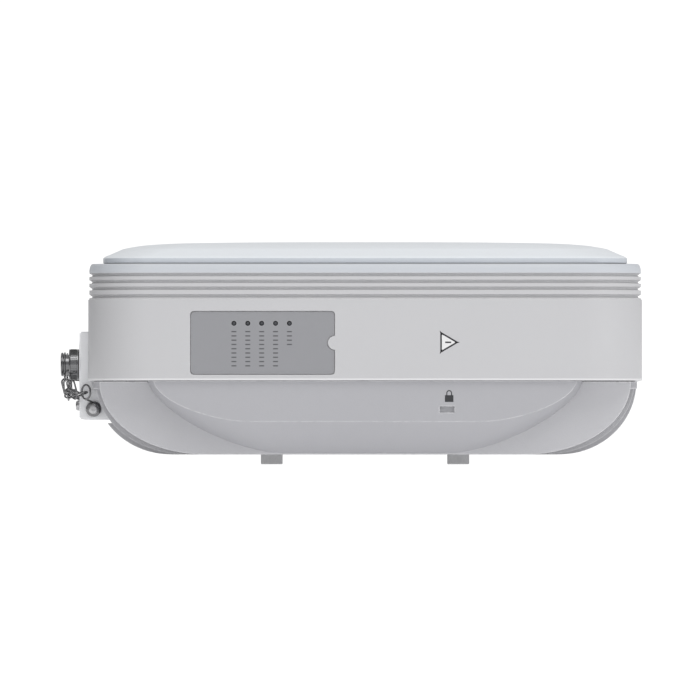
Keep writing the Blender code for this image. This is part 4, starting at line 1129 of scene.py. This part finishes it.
def collar(index, place):
    """Flanged collar; its outer thread is a row of fine rounded ridges."""
    flange = COLLAR_FLANGE - 0.2 * MM
    profile = [(-8 * MM, BORE), (-8 * MM, COLLAR_BODY), (-1.7 * MM, COLLAR_BODY),
               (-1.7 * MM, flange), (-1.5 * MM, COLLAR_FLANGE), (-0.4 * MM, COLLAR_FLANGE),
               (-0.2 * MM, flange), (-0.2 * MM, THREAD - 0.3 * MM)]
    for ridge in range(3):
        base = (0.1 + 0.8 * ridge) * MM
        for part, depth in ((0, 0.3), (0.2, 0.22), (0.4, 0.0), (0.6, 0.22)):
            profile.append((base + part * MM, THREAD - depth * MM))
    profile += [(COLLAR_LENGTH - 0.3 * MM, THREAD - 0.3 * MM),
                (COLLAR_LENGTH, THREAD - 0.6 * MM), (COLLAR_LENGTH, BORE + 0.2 * MM),
                (COLLAR_LENGTH - 0.2 * MM, BORE)]
    piece = make_object(f"port_{index}_collar_turned",
                        turned(profile, -X_AXIS, place, 64, closed=True), nickel, 40)
    stand_for(piece, "terminal", "chrome_metal", f"port_{index}_collar")
    cover_node(f"port_{index}_insert", nylon)
    cover_node(f"port_{index}_cap_seal", rubber)


def dust_cap(index, place):
    """Cap with a plain skirt, a knurled grip, a neck for the ring and a domed knob."""
    length = place.x - CAP_END
    knob = length - KNOB_LENGTH
    neck = knob - NECK_LENGTH
    grip, groove = CAP_GRIP, CAP_GRIP - 0.28 * MM
    seat = COLLAR_LENGTH + 1.4 * MM    # the cap's inner end face, over its seal
    profile = ((seat, CAP_BORE), (0.4 * MM, CAP_BORE), (0.3 * MM, CAP_BORE + 0.2 * MM),
               (0.3 * MM, grip - 0.3 * MM), (0.5 * MM, grip - 0.05 * MM), (0.9 * MM, grip),
               (1.2 * MM, grip), (1.35 * MM, groove), (neck - 0.75 * MM, groove),
               (neck - 0.6 * MM, grip), (neck - 0.3 * MM, grip - 0.02 * MM),
               (neck, grip - 0.35 * MM), (neck, CAP_NECK + 0.05 * MM),
               (neck + 0.05 * MM, CAP_NECK), (knob - 0.05 * MM, CAP_NECK),
               (knob, CAP_NECK + 0.05 * MM), (knob, CAP_KNOB - 0.3 * MM),
               (knob + 0.12 * MM, CAP_KNOB - 0.1 * MM), (knob + 0.35 * MM, CAP_KNOB),
               (length - 0.5 * MM, CAP_KNOB), (length - 0.25 * MM, CAP_KNOB - 0.25 * MM),
               (length - 0.1 * MM, CAP_KNOB - 0.7 * MM), (length - 0.02 * MM, 3.8 * MM),
               (length, 1.0 * MM))
    body = f"port_{index}_cap"
    cap = make_object(f"port_{index}_cap_turned", turned(profile, -X_AXIS, place, 72), chrome, 40)
    stand_for(cap, body, "chrome_metal", body)
    low, high, half = place.x - neck + 0.8 * MM, place.x - 1.4 * MM, 0.22 * MM
    ridge = make_object("ridge", block((low, -half, groove - 0.15 * MM), (high, half, grip),
                                       0.09 * MM), chrome)
    knurl = repeat_around(f"port_{index}_cap_knurl", ridge, 44, (0, place.y, place.z), chrome)
    stand_for(knurl, body, "chrome_metal", body)


def tether_ring(index):
    """Wire ring round the neck, with a small eyelet that the chain hangs from."""
    center = Vector(joints[f"port_{index}_ring_swivel"]["pos_m"])
    pin = Vector(joints[f"port_{index}_link_1_swing"]["pos_m"])
    hang = (pin - center).normalized()
    ring = wire_loop(circle_path(center, X_AXIS, RING_RADIUS, 64), RING_HALF)
    middle = center + hang * (RING_RADIUS + LINK_BEND)
    eyelet = wire_loop(circle_path(middle, X_AXIS, LINK_BEND, 40), RING_HALF)
    piece = make_object(f"port_{index}_ring_wire", joined(ring, eyelet), chrome, 60)
    stand_for(piece, f"port_{index}_tether_ring", "chrome_metal", f"port_{index}_tether_ring")


for index, place in enumerate(port_axes, start=1):
    collar(index, place)
    dust_cap(index, place)
    tether_ring(index)


# === Chains and lugs ==========================================================================
# Three welded wire links per port, bright plated, hang from the cap's ring to a lug: a stamped
# washer with a standing wire eye, screwed to the panel. The last link hangs in that eye.
EYE_RADIUS = 3.4 * MM
EYE_STANDOFF, EYE_RISE = 6.3 * MM, 8.0 * MM    # of the eye's centre from the lug's screw
LINK_PLAY = 0.8 * MM                           # how far one link's wire sits inside the next
WASHER_RADIUS, WASHER_HOLE = 3.6 * MM, 1.8 * MM
SIDE_LUG_X = body_x - 127.6 * MM
# Each lug: where its screw sits, the way its eye leans, and the face that it is screwed to.
LUG_SEATS = ((Vector((SIDE_LUG_X, panel_low.y, 26 * MM)), -X_AXIS, -Y_AXIS),
             (Vector((panel_low.x, 22.5 * MM, 28 * MM)), -Y_AXIS, -X_AXIS),
             (Vector((SIDE_LUG_X, panel_high.y, 26 * MM)), -X_AXIS, Y_AXIS))


def link_path(start, end, start_gap, end_gap, width, steps=14):
    """Centre line of a link between two pins: two half circles joined by straight wires."""
    along = (end - start).normalized()
    across = (width - along * width.dot(along)).normalized()
    points = []
    for center, turn in ((end - along * end_gap, 1), (start + along * start_gap, -1)):
        for step in range(steps + 1):
            angle = math.radians(90 - 180 * step / steps)
            points.append(center + turn * LINK_BEND
                          * (along * math.cos(angle) + across * math.sin(angle)))
    return points


def chain_links(index, eye, eye_axis):
    """Three links between the ring's eyelet and the lug's eye, each turned across the last."""
    pins = [Vector(joints[f"port_{index}_link_{k}_swing"]["pos_m"]) for k in (1, 2, 3)] + [eye]
    short = LINK_BEND - LINK_PLAY
    gaps = ((LINK_BEND, short), (short, short), (short, LINK_BEND))
    widths = (X_AXIS, (eye - pins[0]).normalized().cross(X_AXIS), eye_axis)
    for k in range(3):
        path = link_path(pins[k], pins[k + 1], *gaps[k], widths[k])
        wire = wire_loop(path, WIRE_HALF)
        link = make_object(f"port_{index}_link_wire_{k + 1}", wire, chrome, 60)
        stand_for(link, f"port_{index}_link_{k + 1}", "chrome_metal",
                  f"port_{index}_chain_link_{k + 1}")


def chain_lug(index, seat, normal, eye, eye_axis):
    """Stamped washer with a wire post and a standing eye."""
    low, high = 0.3 * MM, 1.2 * MM
    ease = 0.1 * MM
    washer = turned(((low, WASHER_HOLE), (low, WASHER_RADIUS - ease), (low + ease, WASHER_RADIUS),
                     (high - ease, WASHER_RADIUS), (high, WASHER_RADIUS - ease),
                     (high, WASHER_HOLE)), normal, seat, 40, closed=True)
    foot = seat + normal * 0.7 * MM + Z_AXIS * 3.1 * MM
    arm = eye - Z_AXIS * EYE_RADIUS - foot
    post = turned(((0, WIRE_HALF), (arm.length, WIRE_HALF)), arm.normalized(), foot, 14)
    loop = wire_loop(circle_path(eye, eye_axis, EYE_RADIUS, 40), WIRE_HALF)
    lug = make_object(f"port_{index}_lug_stamped", joined(washer, post, loop), chrome, 50)
    stand_for(lug, "terminal", "chrome_metal", f"port_{index}_lug")


for index, (seat, lean, normal) in enumerate(LUG_SEATS, start=1):
    eye = seat + lean * EYE_RADIUS + normal * EYE_STANDOFF + Z_AXIS * EYE_RISE
    sag = eye - Vector(joints[f"port_{index}_link_1_swing"]["pos_m"])
    eye_axis = Vector((sag.x, sag.y, 0)).cross(Z_AXIS).normalized()
    chain_links(index, eye, eye_axis)
    chain_lug(index, seat, normal, eye, eye_axis)


# === Screws ===================================================================================
# Stainless pan-head screws with hexagon sockets: four hold the housing, two the port panel, one
# each lug, and a larger one on the panel takes the earth wire.
steel = metal("stainless_steel", (0.56, 0.56, 0.57), 0.24, (1.0, 1.0, 0.06), 0.000005, 0.14)


def socket_screw(node, seat, axis, head, shank):
    """Crowned head with a hexagon socket; the shank runs back from the seat. Head and shank are
    given as (diameter, length)."""
    width, height = head[0] / 2, head[1]
    stem, length = shank[0] / 2, shank[1]
    profile = ((-length, stem - 0.4 * MM), (-length + 0.5 * MM, stem), (0, stem), (0, width),
               (height * 0.45, width), (height * 0.75, width * 0.93), (height * 0.93, width * 0.75),
               (height, width * 0.5))
    piece = make_object(f"{node}_socket_head", turned(profile, axis, seat, 40), steel, 40)
    socket = width * 0.42
    cut(piece, turned(((height * 0.35, socket), (height + MM, socket)), axis, seat, 6), sharp=40)
    stand_for(piece, "terminal", "screw_stainless", node)


for k, (x, y) in enumerate(COVER_SCREW_PLACES, start=1):
    seat = Vector((x, y, PLATE_TOP - PLATE_THICK - GAP))
    socket_screw(f"cover_screw_{k}", seat, -Z_AXIS, (7 * MM, 3.2 * MM), (4 * MM, 14 * MM))
for k, seat in enumerate(panel_screw_seats, start=1):
    socket_screw(f"panel_screw_{k}", seat + X_AXIS * 3.2 * MM, -X_AXIS, (7 * MM, 3 * MM),
                 (4 * MM, 25 * MM))
socket_screw("ground_screw", EARTH_SCREW - X_AXIS * GAP, -X_AXIS, (9 * MM, 3.5 * MM),
             (5 * MM, 7 * MM))
for index, (seat, _, normal) in enumerate(LUG_SEATS, start=1):
    socket_screw(f"port_{index}_lug_screw", seat + normal * 1.5 * MM, normal,
                 (4.8 * MM, 1.8 * MM), (3 * MM, 6 * MM))


# === Inside pieces ============================================================================
# Boards, shield can, heat pad, transformer, optical transceiver, flex cable and the antennas on
# their reflector. They are hidden in use and keep their CAD shapes under detailed finishes.
def board_finish():
    """Green solder mask with copper tracks under it, bare pads and a faint weave."""
    finish = Finish("solder_mask_green", (0.012, 0.10, 0.035), 0.32)
    tracks = finish.tree.nodes.new("ShaderNodeTexBrick")
    tracks.inputs["Scale"].default_value = 160.0
    tracks.inputs["Mortar Size"].default_value = 0.03
    finish.tree.links.new(finish.place, tracks.inputs["Vector"])
    finish.tint(tracks.outputs["Fac"], (0.03, 0.20, 0.07))
    cells = finish.tree.nodes.new("ShaderNodeTexVoronoi")
    cells.inputs["Scale"].default_value = 260.0
    finish.tree.links.new(finish.place, cells.inputs["Vector"])
    pads = ramp(finish.tree, cells.outputs["Distance"], 0.14, 0.1)
    finish.tint(pads, (0.62, 0.46, 0.22))
    finish.tint(finish.group(DUST, Amount=0.15).outputs["Mask"], (0.4, 0.4, 0.38))
    finish.roughen(finish.group(MOTTLE, Size=30.0).outputs["Tone"], 0.08)
    return finish.emboss(tracks.outputs["Fac"], 0.00004).done()


board = board_finish()
tin = metal("tinned_sheet", (0.70, 0.70, 0.71), 0.28, (0.1, 1.0, 1.0))
inner_looks = {
    "main_board": board,
    "port_board": board,
    "led_board": board,
    "rf_shield_can": tin,
    "optical_module": tin,
    "antenna_reflector": metal("reflector_aluminium", (0.78, 0.78, 0.79), 0.34, (0.05, 1.0, 1.0)),
    "thermal_pad": moulded("heat_pad_gel", (0.36, 0.46, 0.62), 0.7, 700.0, 0.00005),
    "power_transformer": moulded("transformer_resin", (0.028, 0.028, 0.03), 0.5, 900.0, 0.00003),
    "port_flex_cable": moulded("amber_film", (0.38, 0.17, 0.03), 0.25, 2200.0, 0.000003),
}
brass = metal("patch_brass", (0.72, 0.55, 0.28), 0.28, (1.0, 0.06, 1.0))
for k in range(1, 5):
    inner_looks[f"patch_antenna_{k}"] = brass
for node, look in inner_looks.items():
    cover_node(node, look)
